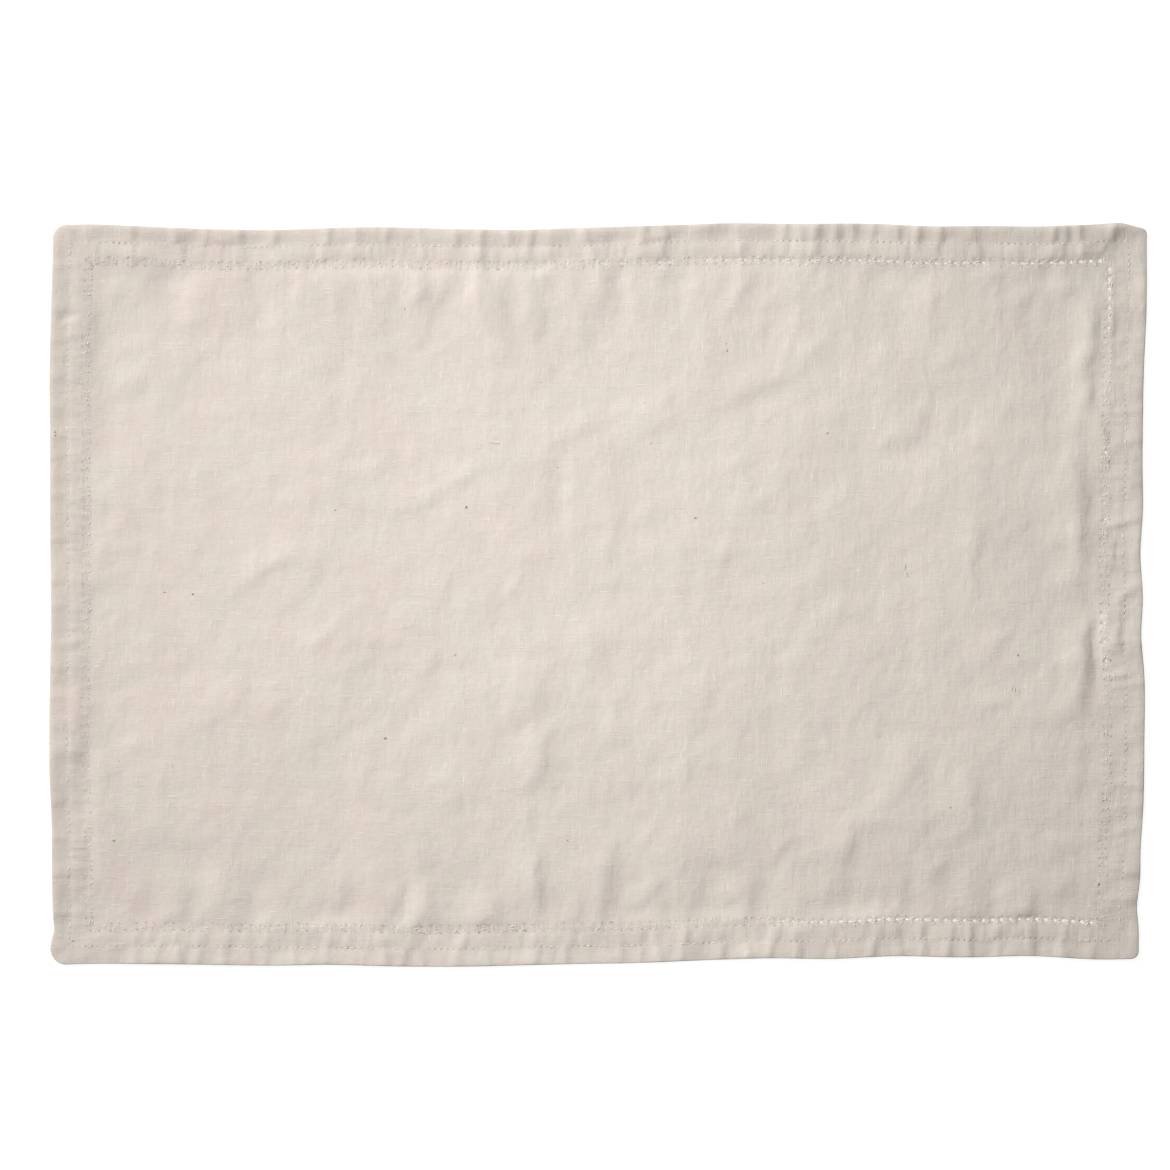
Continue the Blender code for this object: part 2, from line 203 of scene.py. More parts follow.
# The folds left by washing, each a soft ridge: the place of its middle, its length,
# half width and bow in mm, its direction in degrees from X, and its height in mm.
# The main ones first. The part's own solid has a table of its own: most of its folds
# lie by these, and a few don't.
Fold = namedtuple("Fold", "x y length width bow angle height")
FOLDS = named_rows(Fold, [
    (-151, 10, 54, 5.0, 1, 25, 0.52), (-78, 47, 62, 4.5, -2, 28, 0.42),
    (-218, 40, 28, 5.0, 0, 85, 0.42), (-48, 126, 46, 6.5, -1, 104, 0.80),
    (-6, 123, 40, 3.4, 1, 82, 0.30), (98, 112, 28, 4.0, -1, 55, 0.38), (76, 95, 64, 4.4, 2, 25, 0.42),
    (6, 48, 52, 6.0, 1, 88, 0.36), (140, 74, 28, 7.0, 1, 10, 0.56), (65, 136, 30, 2.8, 0, 61, 0.36),
    (153, 130, 30, 2.8, 0, 82, 0.36), (225.4, 112, 60, 3.8, 1, 88, 0.96),
    (221.6, 33, 78, 7.2, 1, 91, 1.22), (221.2, -31, 56, 4.8, -1, 82, 1.00),
    (172, 25, 58, 3.2, 0, 90, 0.38), (-26.5, -76, 34, 5.6, 1, 82, 0.80),
    (-33, -48, 40, 6.0, -1, 72, 0.48), (-50, -98, 42, 3.2, 0, 120, 0.36),
    (-28, -130, 36, 4.4, 0, 86, 0.66), (4, -128, 40, 6.0, 1, 80, 0.90),
    (22, -136, 26, 3.4, 0, 48, 0.40), (116, -117, 30, 4.2, 1, 72, 0.50),
    (155, -132, 30, 5.0, 0, 84, 0.65), (171, -96, 40, 4.2, 1, 87, 0.46),
    (-120, -136, 24, 6.0, 0, 80, 0.42),
])
# The smaller ones. One below zero is a trough.
CREASES = named_rows(Fold, [
    (-30, 132, 28, 3.5, 0, 100, 0.30), (-4, 76, 20, 4.0, 1, 12, 0.45), (4, 18, 20, 3.5, 0, 90, 0.25),
    (77, 128, 24, 3.0, 0, 63, 0.30), (44, 137, 18, 3.0, 0, 72, 0.25), (89, 119, 26, 3.2, -1, 68, 0.30),
    (160, 105, 18, 2.8, 0, 40, 0.22), (212, 141, 16, 4.0, 0, 70, 0.40),
    (195, 137, 16, 3.5, 0, 75, 0.30), (223, 82, 24, 3.5, 0, 84, 0.40),
    (227.6, -30, 44, 2.4, 0, 82, -0.40), (-16, 50, 44, 5.5, 0, 88, -0.42),
    (186, -21, 36, 3.0, 1, 45, 0.20), (181, -50, 20, 2.8, 0, 10, 0.22),
    (106, -134, 20, 4.0, 0, 60, 0.30), (-174, -138, 16, 3.0, 0, 85, 0.30),
    (-150, -139, 16, 3.4, 0, 88, 0.30), (-94, -139, 18, 3.0, 0, 85, 0.35),
    (-77, -138, 20, 3.5, 0, 88, 0.35), (-65, -98, 30, 4.0, 1, 86, 0.30),
    (-106, -83, 24, 4.0, 1, 70, 0.22), (37, -139, 15, 3.0, 0, 85, 0.30),
    (60, -138, 15, 3.4, 0, 80, 0.28), (83, -139, 15, 3.0, 0, 88, 0.28),
    (-211, 97, 20, 4.4, 0, 80, 0.36), (-223, 130, 24, 4.0, 0, 85, 0.26),
    (-207, 64, 22, 4.0, 0, 84, 0.26), (-187, 107, 20, 5.0, 1, 70, 0.22),
    (-160, 130, 20, 5.0, 0, 60, 0.34), (-125, 105, 16, 3.5, 0, 20, 0.20),
    (-97, 132, 18, 4.0, 0, 80, 0.26), (-82, 140, 20, 3.8, 0, 85, 0.42),
    (-223, -85, 30, 5.0, 1, 60, 0.26), (-205, -88, 22, 5.0, 0, 20, 0.16),
    (-222, -108, 50, 4.5, 0, 88, 0.20), (-164, -44, 26, 4.0, 1, 65, 0.20),
    (-125, -21, 30, 4.0, 1, 62, 0.22), (-148, -53, 22, 3.4, 0, 58, 0.24),
    (60, 25, 26, 3.5, 1, 84, 0.22), (81, 48, 30, 4.0, 1, 45, 0.18), (65, 59, 22, 3.4, 0, 40, 0.18),
    (90, -7, 30, 3.0, 0, 86, 0.26), (111, -2, 24, 3.0, 1, 88, 0.22), (134, -21, 26, 4.0, 0, 60, 0.14),
    (29, 79, 22, 4.6, 0, 20, 0.40), (8, -53, 30, 4.0, 1, 80, 0.26), (-3, -20, 26, 7.0, 0, 88, 0.46),
    (42, -80, 24, 3.5, 0, 70, 0.22), (65, -98, 24, 4.0, 1, 62, 0.22), (83, -117, 22, 3.6, 0, 55, 0.24),
    (143, -80, 30, 4.0, 1, 60, 0.17), (129, -98, 30, 4.0, -1, 60, 0.17),
    (216, -117, 26, 4.0, 0, 30, 0.20), (213, -135, 24, 3.6, 0, 35, 0.20),
    (-36, 11, 24, 3.4, 0, 80, 0.22), (-70, 2, 22, 3.0, 0, 84, 0.22), (-85, -12, 16, 4.0, 0, 80, 0.25),
    (29, 163.6, 15, 1.6, 0, 2, 0.30), (3, 164.0, 12, 1.6, 0, 0, 0.22),
    (-172, 164.2, 12, 1.5, 0, 178, 0.20), (226, 129, 26, 2.2, 0, 90, 0.30),
    (229, 78, 18, 2.6, 0, 96, 0.34), (240, -2, 14, 1.8, 0, 32, 0.26), (238, -37, 15, 1.6, 0, 2, 0.40),
    (-241, -71.5, 22, 4.6, 0, 3, 0.55), (239, -15, 26, 3.4, 0, 90, 0.40),
    (234.3, 119, 60, 1.3, 0, 90, 0.20), (235.5, 19, 14, 1.3, 0, 92, 0.28),
    (239, 31, 10, 1.5, 0, 0, 0.30), (-242, 126, 10, 2.4, 0, 10, -0.25),
    (-213, 150, 12, 3.0, 0, 60, 0.30), (-52, 152, 18, 3.0, 0, 94, 0.30),
])
# What the heights in the first and in the second table are multiplied by, and how
# much a ridge's height varies along it.
FOLD_SHARE = 1.1
CREASE_SHARE = 1.25
UNEVEN = 0.4
# Of its half width, how far a ridge reaches towards the light and away from it.
LIT_FLANK, FAR_FLANK = 1.65, 0.75

# Crumpling: its height and cell size along X and Y in mm, and its seed.
Crumple = namedtuple("Crumple", "height size_x size_y seed")
BROAD_SWELLS = [Crumple(0.72, 44, 52, 6)]
FIELD_CRUMPLES = named_rows(Crumple, [
    (0.10, 6, 10, 3), (0.10, 10, 7, 14), (0.18, 17, 26, 5), (0.15, 26, 17, 16), (0.06, 4.4, 6, 4),
])
FIELD_CRINKLES = named_rows(Crumple, [(0.09, 9, 13, 13), (0.08, 14, 9, 19)])
LONG_SIDE_FANS = named_rows(Crumple, [(0.28, 5.5, 24, 7), (0.62, 13, 36, 8)])
SHORT_SIDE_FANS = named_rows(Crumple, [(0.30, 26, 9, 17), (0.45, 40, 22, 18)])
HEM_SWELLS = named_rows(Crumple, [(0.45, 20, 20, 9), (0.40, 55, 55, 10)])
# How folds wander: the cell size of the noise in mm, how far it moves them, and its seed.
Wander = namedtuple("Wander", "size reach seed")
WANDERS = named_rows(Wander, [(13, 1.8 * MM, 41), (5, 0.9 * MM, 43)])
# Regular waves of the field: their height in mm, their length, and how far and over
# what width they bend from side to side.
SWELL_HEIGHT = 0.17
SWELL_LENGTH = 96 * MM
SWELL_WIDTH = 71 * MM
SWELL_BEND = 2.2
# All the broad swells are LEFT_SWELL of their height at the left, and gain SWELL_GAIN
# from there to the middle.
LEFT_SWELL, SWELL_GAIN = 0.85, 0.4
# Depths between which the hem's own swells turn into the field's, the fans of the long
# and of the short sides die away, and both kinds grow out of the corners.
FIELD_START = (15 * MM, 24 * MM)
LONG_FAN = (20 * MM, 62 * MM)
SHORT_FAN = (20 * MM, 52 * MM)
FROM_CORNER = (20 * MM, 50 * MM)
# How high the field and the hem lie before their swells, in mm.
FIELD_LIFT = 0.95
HEM_LIFT = 0.75

# The mitres' laps, in mm: across the diagonal, where the step starts, is whole and ends,
# and where the outer band's own step rises twice and then falls. Then the depths that
# the outer band's step and all of it reach, the two heights, and how strong the laps
# are at the upper right and at the other corners.
LAP_STEP = (4.2, 6.6, 6.6, 18.0)
BAND_RISES = ((-3.0, 6.0), (6.0, 9.6))
BAND_FALL = (9.6, 20.0)
BAND_DEPTH = (5.0, 11.0)
LAP_DEPTH = (0.3, 2.0, 13.0, 15.5)
LAP_HEIGHT, BAND_HEIGHT = 0.28, 0.44
UPPER_RIGHT_LAP, OTHER_LAP = 1.0, 0.12

# How open the hemstitch holes are along each side, from 0, drawn shut, to 1. A hole
# more open than SHUT is cut through, after its own chance of up to HOLE_CHANCE.
Openness = namedtuple("Openness", "along open")
TOP_HOLES = named_rows(Openness, [
    (-250, 0.05), (-20, 0.10), (15, 0.36), (60, 0.50), (95, 0.42), (150, 0.52), (190, 0.48),
    (208, 0.85), (250, 1.00),
])
BOTTOM_HOLES = named_rows(Openness, [
    (-250, 0.05), (40, 0.10), (80, 0.36), (105, 0.60), (120, 0.80), (165, 0.72), (225, 0.90),
    (250, 0.60),
])
LEFT_HOLES = named_rows(Openness, [(-170, 0.05), (170, 0.05)])
RIGHT_HOLES = named_rows(Openness, [
    (-170, 0.15), (-60, 0.12), (-30, 0.30), (0, 0.15), (60, 0.30), (105, 0.22), (128, 0.55),
    (140, 0.90), (170, 0.95),
])
HOLES = Sides(TOP_HOLES, BOTTOM_HOLES, LEFT_HOLES, RIGHT_HOLES)
SHUT = 0.35
HOLE_CHANCE = 0.16
# The least length and width of one, as shares of those when it is fully open, and how
# uneven its outline is.
LEAST_LENGTH, LEAST_WIDTH = 0.35, 0.30
HOLE_UNEVEN = 0.15
# How deep the needle's pits beside a shut hole are, in mm.
PIT_SINK = (0.01, 0.12)

# Lines of the mesh across the hem, closest where its section turns most.
RIM_LINES = [0.0, 0.12, 0.4, 0.75, 1.7, 2.6, 3.6, 4.7, 5.8, 6.8, 7.5, 8.1, 8.7, 9.4, 10.2, 11.2]
HOLE_LINES = [12.3, 13.6, 14.6, 15.5, 16.2, 16.9, 17.6, 18.3]
HOLE_PITCH = 4.35 * MM
CELLS_PER_HOLE = 4
HEM_LINES = np.array(RIM_LINES + HOLE_LINES) * MM
HOLE_LINE = HEM_LINES.tolist().index(HOLE_DEPTH)
# Lines from a hole's middle to its needle pits, and cells from the rim whose wrong side
# is as fine as their right side.
PIT_LINES = 2
RIM_CELLS = 4
# How high in the cloth a hole's rolled edge lies, and where the field's even lines start.
HOLE_EDGE = 0.85
BAND = HOLE_DEPTH + HOLE_PITCH / 2

# How far the lockstitch strays from its line, and over what distance, in mm.
STRAY, STRAY_CELL = 0.5, 42
# Rows of thread in the hemstitched line, from the rim inwards: their depth in mm, their
# length as a share of the holes' pitch, and how many degrees they lean.
ThreadRow = namedtuple("ThreadRow", "depth share lean")
THREAD_ROWS = named_rows(ThreadRow, [
    (15.3, 0.34, 60), (16.2, 0.50, 35), (17.0, 0.62, -10), (17.7, 0.46, -45), (18.6, 0.3, 70),
])
# The fibres left across an open hole: the degrees each leans, and how far aside it
# lies in mm.
LooseFibre = namedtuple("LooseFibre", "lean aside")
LOOSE_FIBRES = named_rows(LooseFibre, [(8.0, -0.32), (-6.0, 0.32), (82.0, -0.42), (97.0, 0.42)])

# Dark flax fibres caught in the cloth, and thick places in its yarns: the place of
# each one's middle, its length and width in mm, and its direction in degrees from X.
Fibre = namedtuple("Fibre", "x y length width angle")
FLECKS = named_rows(Fibre, [
    (-60.4, 40.1, 1.6, 0.60, 60), (-58.6, 33.0, 5.0, 0.16, 84), (44.4, 35.1, 1.3, 0.50, 20),
    (140.5, 12.5, 3.6, 0.30, 80), (141.6, 9.0, 3.4, 0.26, 104), (-185.3, 0.3, 1.2, 0.50, 30),
    (-198.1, 1.2, 1.0, 0.45, 10), (-97.4, -65.6, 1.5, 0.60, 15), (59.0, 111.0, 1.2, 0.45, 70),
    (-221.4, -112.2, 1.3, 0.50, 20), (104.8, 73.9, 1.2, 0.45, 40), (-88.3, 131.1, 1.3, 0.40, 85),
    (192.2, -27.6, 1.2, 0.50, 60), (190.8, -43.6, 2.4, 0.26, 88), (192.6, -44.6, 2.2, 0.22, 92),
    (-65.4, -27.6, 1.1, 0.40, 0), (-247.4, 74.4, 0.9, 0.50, 90), (-247.2, 72.8, 0.9, 0.45, 90),
    (231.0, -133.7, 1.5, 0.60, 70), (-120.2, 38.6, 1.0, 0.36, 15), (161.0, -97.4, 1.0, 0.36, 70),
    (-14.0, -112.0, 1.0, 0.36, 40), (-47.6, 69.2, 3.4, 0.20, 0), (-18.3, 58.1, 0.8, 0.40, 0),
    (21.3, 87.9, 0.9, 0.30, 40), (24.2, 69.2, 1.4, 0.26, 35), (-26.0, 97.1, 1.6, 0.20, 0),
    (58.6, 114.2, 0.9, 0.30, 80), (100.2, -13.4, 5.0, 0.18, 80), (75.5, 5.3, 0.9, 0.30, 0),
    (189.4, -43.0, 2.0, 0.24, 84), (-240.4, -158.5, 1.0, 0.40, 30), (-218.0, -76.1, 0.8, 0.30, 0),
    (125.3, -49.6, 9.0, 0.16, 0), (-194.0, -78.4, 0.8, 0.30, 60), (-214.2, -122.3, 0.8, 0.30, 0),
])
SLUBS = named_rows(Fibre, [
    (-49.0, 69.8, 9.0, 0.42, 0), (-46.2, 69.4, 3.0, 0.55, 0), (-99.7, 78.1, 7.0, 0.36, 0),
    (-31.1, 2.1, 8.0, 0.36, 0), (197.6, -36.3, 7.0, 0.36, 0), (179.3, -23.0, 9.0, 0.36, 0),
    (-101.0, -65.4, 16.0, 0.32, 0), (-58.4, 27.3, 12.0, 0.36, 88), (-165.0, 88.0, 9.0, 0.32, 0),
    (-12.0, 94.0, 8.0, 0.32, 90), (83.0, -31.0, 12.0, 0.34, 90), (120.0, 44.0, 8.0, 0.32, 0),
    (-172.0, -96.0, 8.0, 0.34, 0), (28.0, -98.0, 14.0, 0.32, 0), (66.0, 12.0, 7.0, 0.34, 90),
    (-140.0, 118.0, 8.0, 0.32, 90), (205.0, 92.0, 8.0, 0.32, 0), (12.0, 120.0, 9.0, 0.34, 90),
    (182.0, -31.7, 14.0, 0.34, 0), (155.5, -16.0, 15.0, 0.34, 90), (84.2, 4.9, 11.0, 0.36, 90),
    (84.2, -43.0, 10.0, 0.40, 90), (80.0, -42.0, 12.0, 0.34, 0), (-38.4, 100.0, 7.0, 0.36, 90),
    (-22.0, 79.4, 5.0, 0.36, 2), (181.6, 3.0, 6.0, 0.34, 8),
])

# ---------------------------------------------------------------- curves and noise


def smooth_through(rows, at):
    """A cubic through a table's points: each slope is taken from the point's neighbours."""
    place, value = np.array(rows, dtype=float).T
    slope = np.gradient(value, place)
    first = np.clip(np.searchsorted(place, at) - 1, 0, len(place) - 2)
    step = place[first + 1] - place[first]
    t = np.clip((at - place[first]) / step, 0.0, 1.0)
    rise = t * t * (3.0 - 2.0 * t)
    start = value[first] + step * slope[first] * t * (1.0 - t) ** 2
    end = value[first + 1] - step * slope[first + 1] * t * t * (1.0 - t)
    return start * (1.0 - rise) + end * rise


def ease(value, low, high):
    """0 below low, 1 above high, and a smooth step between them."""
    t = np.clip((value - low) / (high - low), 0.0, 1.0)
    return t * t * (3.0 - 2.0 * t)


def bump(value, low, top, end, high):
    """0 outside low and high, 1 between top and end, and smooth steps between them."""
    return ease(value, low, top) * (1.0 - ease(value, end, high))


def rounded_size(value):
    """The value without its sign, rounded off near 0: the root of its square plus 0.01."""
    return np.sqrt(value ** 2 + 0.01)


def crumple(x, y, size_x, size_y, seed):
    """Seeded heights from -1 to 1 on a lattice of cells, sized in mm, eased between."""
    heights = np.random.default_rng(seed).uniform(-1.0, 1.0, (512, 512))
    u, v = x / (size_x * MM) + 256.0, y / (size_y * MM) + 256.0
    i, j = np.floor(u).astype(int), np.floor(v).astype(int)
    a, b = ease(u - i, 0.0, 1.0), ease(v - j, 0.0, 1.0)
    low = heights[i, j] * (1.0 - a) + heights[i + 1, j] * a
    high = heights[i, j + 1] * (1.0 - a) + heights[i + 1, j + 1] * a
    return low * (1.0 - b) + high * b


def crinkle(x, y, size_x, size_y, seed):
    """Crumpling with narrow crests, from -1 to 1: one less twice the noise's size."""
    return 1.0 - 2.0 * rounded_size(crumple(x, y, size_x, size_y, seed))


def crumples(rows, x, y, pattern=crumple):
    """The sum of a table's crumplings, each times its height."""
    return sum(row.height * pattern(x, y, row.size_x, row.size_y, row.seed) for row in rows)


# ---------------------------------------------------------------- the mat's plan


def straight_half():
    """Half the straight rectangle: half the CAD box, less how far its sides stand out."""
    out = Sides(*[
        smooth_through(rows, np.linspace(rows[0].along, rows[-1].along, EDGE_STEPS)).max() * MM
        for rows in EDGES
    ])
    length, width = MAT_HIGH.x - MAT_LOW.x, MAT_HIGH.y - MAT_LOW.y
    half = ((length - out.left - out.right) / 2, (width - out.top - out.bottom) / 2)
    shift = ((out.left - out.right) / 2, (out.bottom - out.top) / 2)
    return half, shift


(HALF_LENGTH, HALF_WIDTH), MIDDLE = straight_half()


def depths(x, y):
    """Distance in from the nearer short side, and from the nearer long side."""
    return HALF_LENGTH - np.abs(x), HALF_WIDTH - np.abs(y)


def along_sides(tables, x, y):
    """What each side's table says beside a place."""
    return Sides(
        smooth_through(tables.top, x / MM), smooth_through(tables.bottom, x / MM),
        smooth_through(tables.left, y / MM), smooth_through(tables.right, y / MM),
    )


def pick(sides, x, y, on_long):
    """Each place's value from its own side."""
    on_short = np.where(x > 0, sides.right, sides.left)
    return np.where(on_long, np.where(y > 0, sides.top, sides.bottom), on_short)


def lay_out(x, y):
    """Moves places of the straight rectangle to where they lie in the washed mat.

    Near a corner the lines round the mat turn in an arc whose radius shrinks with
    depth. Then each side's wave is added, whole in the hem and fading towards the
    middle.
    """
    from_short, from_long = depths(x, y)
    depth = np.minimum(from_short, from_long)
    run = np.abs(from_short - from_long)
    radius = np.zeros_like(x)
    for corner in CORNERS:
        here = ((x > 0) == corner.right) & ((y > 0) == corner.top)
        radius = np.where(here, corner.radius * MM, radius)
    radius = np.maximum(radius * (1.0 - depth / ROUNDING_DEPTH), 1e-9)
    turn_by = np.pi / 4.0 * np.clip(1.0 - run / radius, 0.0, 1.0)
    near = radius * (1.0 - np.cos(turn_by))
    far = radius * (1.0 - np.sin(turn_by)) - np.minimum(run, radius)
    in_x = np.where(from_short < from_long, near, far)
    in_y = np.where(from_short < from_long, far, near)
    out = along_sides(EDGES, x, y)
    out_x = np.where(x > 0, out.right, -out.left) * MM
    out_y = np.where(y > 0, out.top, -out.bottom) * MM
    return (
        x - np.sign(x) * in_x + out_x * (1.0 - ease(from_short, HEM_DEPTH, WAVE_REACH)) + MIDDLE[0],
        y - np.sign(y) * in_y + out_y * (1.0 - ease(from_long, HEM_DEPTH, WAVE_REACH)) + MIDDLE[1],
    )


# ---------------------------------------------------------------- the mat's heights


def puckers(x, y):
    """Height of the hem's cross ridges: each rises slowly and falls steeply, away from
    the upper left, and ends at the rim, the lockstitch and the hemstitch. Uneven
    waves of two sizes, drawn out across the hem, lie between them, and small puffs
    with narrow valleys between. Along the left side runs a low welt, and along the
    right side a low groove."""
    from_short, from_long = depths(x, y)
    depth = np.minimum(from_short, from_long) / MM
    run = np.abs(from_short - from_long) / MM
    outer, inner = bump(depth, *OUTER_BAND), bump(depth, *INNER_BAND)
    on_long = from_long <= from_short
    drawn_up = np.zeros_like(x)
    for rows, here, along, sense in (
        (TOP_PUCKERS, on_long & (y > 0), x, 1.0),
        (BOTTOM_PUCKERS, on_long & (y <= 0), x, 1.0),
        (LEFT_PUCKERS, ~on_long & (x < 0), y, -1.0),
        (RIGHT_PUCKERS, ~on_long & (x > 0), y, -1.0),
    ):
        for index, row in enumerate(rows):
            slant = PUCKER_SLANT * np.sin(index * 2.4) * (depth[here] - MID_HEM) * MM
            jog = PUCKER_JOG * np.sin(index * 1.9) * ease(depth[here], *INNER_BAND[:2])
            side = sense * (along[here] - row.along * MM - slant - jog)
            flank = np.where(side < 0.0, PUCKER_RISE, PUCKER_FALL)
            window = row.outer * outer[here] + row.inner * inner[here]
            if row.reach:
                start, whole = INTO_FIELD
                window = window + FIELD_SHARE * bump(depth[here], start, whole, whole, whole + row.reach)
            drawn_up[here] += np.exp(-((side / flank) ** 2)) * window
    drawn_up = drawn_up * pick(PUCKER_SHARE, x, y, on_long)
    waves = 0.55 * drawn_out(x, y, on_long, 6, 9, 31) + drawn_out(x, y, on_long, 12, 12, 32)
    waves = waves * pick(WAVE_SHARE, x, y, on_long) * (outer + 0.6 * inner)
    puffs = rounded_size(drawn_out(x, y, on_long, 3.6, 12, 33))
    puffs = puffs * pick(PUFF_SHARE, x, y, on_long) * (inner + 0.25 * outer)
    welt = np.where(x > 0.0, bump(depth, *RIGHT_WELT), bump(depth, *LEFT_WELT))
    welt = welt * pick(WELT_SHARE, x, y, on_long)
    return PUCKER_HEIGHT * ease(run, *CORNER_CALM) * (drawn_up + waves + puffs + welt)


def drawn_out(x, y, on_long, along, across, seed):
    """Crumpling whose cells are along wide on every side and across deep into the mat."""
    long_sides = crumple(x, y, along, across, seed)
    return np.where(on_long, long_sides, crumple(x, y, across, along, seed + 50))


def ridges(rows, x, y):
    """Each fold's height in turn: a bell across its bowed line, tapered along it."""
    for fold in rows:
        angle = np.radians(fold.angle)
        dx, dy = x - fold.x * MM, y - fold.y * MM
        run = (dx * np.cos(angle) + dy * np.sin(angle)) / (0.5 * fold.length * MM)
        side = -dx * np.sin(angle) + dy * np.cos(angle) - fold.bow * MM * (1.0 - run * run)
        taper = np.clip(1.0 - run * run, 0.0, 1.0)
        flank = fold.width * MM * np.where(side > 0.0, LIT_FLANK, FAR_FLANK)
        yield fold.height * MM * taper * np.exp(-((side / flank) ** 2))


def wandered(x, y):
    """Places moved a little to one side by noise, so that straight folds wander."""
    for row in WANDERS:
        x, y = (
            x + row.reach * crumple(x, y, row.size, row.size, row.seed),
            y + row.reach * crumple(x, y, row.size, row.size, row.seed + 1),
        )
    return x, y


def folds(x, y):
    """The highest main fold at each place, and the smaller creases added to it, all
    of them uneven along their length."""
    highest = np.zeros_like(x)
    for ridge in ridges(FOLDS, x, y):
        highest = np.maximum(highest, ridge)
    uneven = 1.0 + UNEVEN * crumple(x, y, 9, 9, 45)
    return uneven * (FOLD_SHARE * highest + CREASE_SHARE * sum(ridges(CREASES, x, y)))


def swells(x, y):
    """Broad low swells of the field, with smaller crumpling on them that is drawn out
    along X or along Y, and creases that fan into the field from the hems."""
    from_short, from_long = depths(x, y)
    wave = np.cos(x / SWELL_LENGTH * 2 * np.pi + SWELL_BEND * np.sin(y / SWELL_WIDTH * np.pi))
    broad = SWELL_HEIGHT * (0.5 + 0.5 * wave) + crumples(BROAD_SWELLS, x, y)
    broad = broad * (LEFT_SWELL + SWELL_GAIN * ease(x, -HALF_LENGTH, 0.0))
    small = crumples(FIELD_CRUMPLES, x, y) + crumples(FIELD_CRINKLES, x, y, crinkle)
    long_fan = crumples(LONG_SIDE_FANS, x, y) * (1.0 - ease(from_long, *LONG_FAN))
    short_fan = crumples(SHORT_SIDE_FANS, x, y) * (1.0 - ease(from_short, *SHORT_FAN))
    fan = long_fan * ease(from_short, *FROM_CORNER) + short_fan * ease(from_long, *FROM_CORNER)
    field = ease(np.minimum(from_short, from_long), *FIELD_START)
    in_field = broad + small + fan + FIELD_LIFT
    in_hem = crumples(HEM_SWELLS, x, y) + HEM_LIFT
    return np.maximum(in_field * field + in_hem * (1.0 - field), 0.0) * MM


def mitres(x, y):
    """The lap of each corner: the long side's hem lies over the short side's, and drops
    to it in a step beside the diagonal, deepest at the upper right. A lower step lies
    beside it in the outer band."""
    from_short, from_long = depths(x, y)
    depth = np.minimum(from_short, from_long) / MM
    strength = np.where((x > 0) & (y > 0), UPPER_RIGHT_LAP, OTHER_LAP)
    across = (from_short - from_long) / MM / np.sqrt(2.0)
    outer = sum(0.5 * ease(across, *rise) for rise in BAND_RISES)
    outer = outer * (1.0 - ease(across, *BAND_FALL)) * (1.0 - ease(depth, *BAND_DEPTH))
    step = LAP_HEIGHT * bump(across, *LAP_STEP) + BAND_HEIGHT * outer
    return strength * step * MM * bump(depth, *LAP_DEPTH)


def lifted(x, y):
    """How far the cloth's underside stands off the table."""
    x, y = wandered(x, y)
    return folds(x, y) + swells(x, y)


def rim_drop(x, y):
    """How much lower the cloth's right side lies by the rim of each side, less the
    higher band of the top one. The two sides' values are blended round their corner."""
    from_short, from_long = depths(x, y)
    share = ease(from_short - from_long, -CORNER_BLEND, CORNER_BLEND)
    drop = pick(RIM_DROP, x, y, True) * share + pick(RIM_DROP, x, y, False) * (1.0 - share)
    depth = np.minimum(from_short, from_long)
    band = TOP_BAND * (1.0 - ease(depth, *BAND_SLOPE)) * share * (y > 0)
    return (drop * np.exp(-depth / RIM_FADE) - band) * MM


def thickness(x, y):
    """The layers of cloth by depth, rounded off over the folded rim."""
    from_short, from_long = depths(x, y)
    depth = np.minimum(from_short, from_long)
    layers = smooth_through(SECTION, depth / MM) * MM - rim_drop(x, y)
    rim = np.sqrt(np.clip(1.0 - np.clip(1.0 - depth / RIM_ROUND, 0.0, 1.0) ** 2, 0.0, 1.0))
    return layers * rim, layers


def upper_side(x, y):
    """Height of the cloth's right side."""
    rounded, layers = thickness(x, y)
    soft = (puckers(x, y) + mitres(x, y)) * rounded / layers
    return lifted(x, y) + (layers + rounded) / 2 + soft


def under_side(x, y):
    """Height of the cloth's wrong side, which is on the table except under the folds."""
    rounded, layers = thickness(x, y)
    return lifted(x, y) + (layers - rounded) / 2


# ---------------------------------------------------------------- the sheet's mesh


def lattice_lines(half):
    """Mesh lines along one axis: the hem's lines at both ends and even ones between."""
    inner = half - BAND
    holes = round(2 * inner / HOLE_PITCH)
    middle = np.linspace(-inner, inner, holes * CELLS_PER_HOLE + 1)
    return np.concatenate([HEM_LINES - half, middle, half - HEM_LINES[::-1]])


def cell_faces(step, kept):
    """Faces of a lattice whose cells are 1, 2 or 4 steps wide.

    step holds the width of the cell that covers each small cell, and kept says
    which small cells exist. A cell's face runs round its border through every
    lattice point that is a corner of some cell, so that neighbours always share
    their points. Faces are returned in groups of one length each.
    """
    count_i, count_j = step.shape
    start = len(HEM_LINES)
    used = np.zeros((count_i + 1, count_j + 1), dtype=bool)
    cells = {}
    for size in (1, 2, 4):
        i, j = np.nonzero((step == size) & kept)
        aligned = ((i - start) % size == 0) & ((j - start) % size == 0)
        cells[size] = i[aligned], j[aligned]
        for di in (0, size):
            for dj in (0, size):
                used[cells[size][0] + di, cells[size][1] + dj] = True
    used[[0, -1], :] = True
    used[:, [0, -1]] = True
    groups = []
    for size, (i, j) in cells.items():
        go = np.arange(size)
        back, low, high = size - go, np.zeros(size, int), np.full(size, size)
        di = np.concatenate([go, high, back, low])
        dj = np.concatenate([low, go, high, back])
        ring_i, ring_j = i[:, None] + di, j[:, None] + dj
        on_border = used[ring_i, ring_j]
        ids = ring_i * (count_j + 1) + ring_j
        for pattern in np.unique(on_border, axis=0):
            rows = (on_border == pattern).all(axis=1)
            groups.append(ids[rows][:, pattern])
    return groups


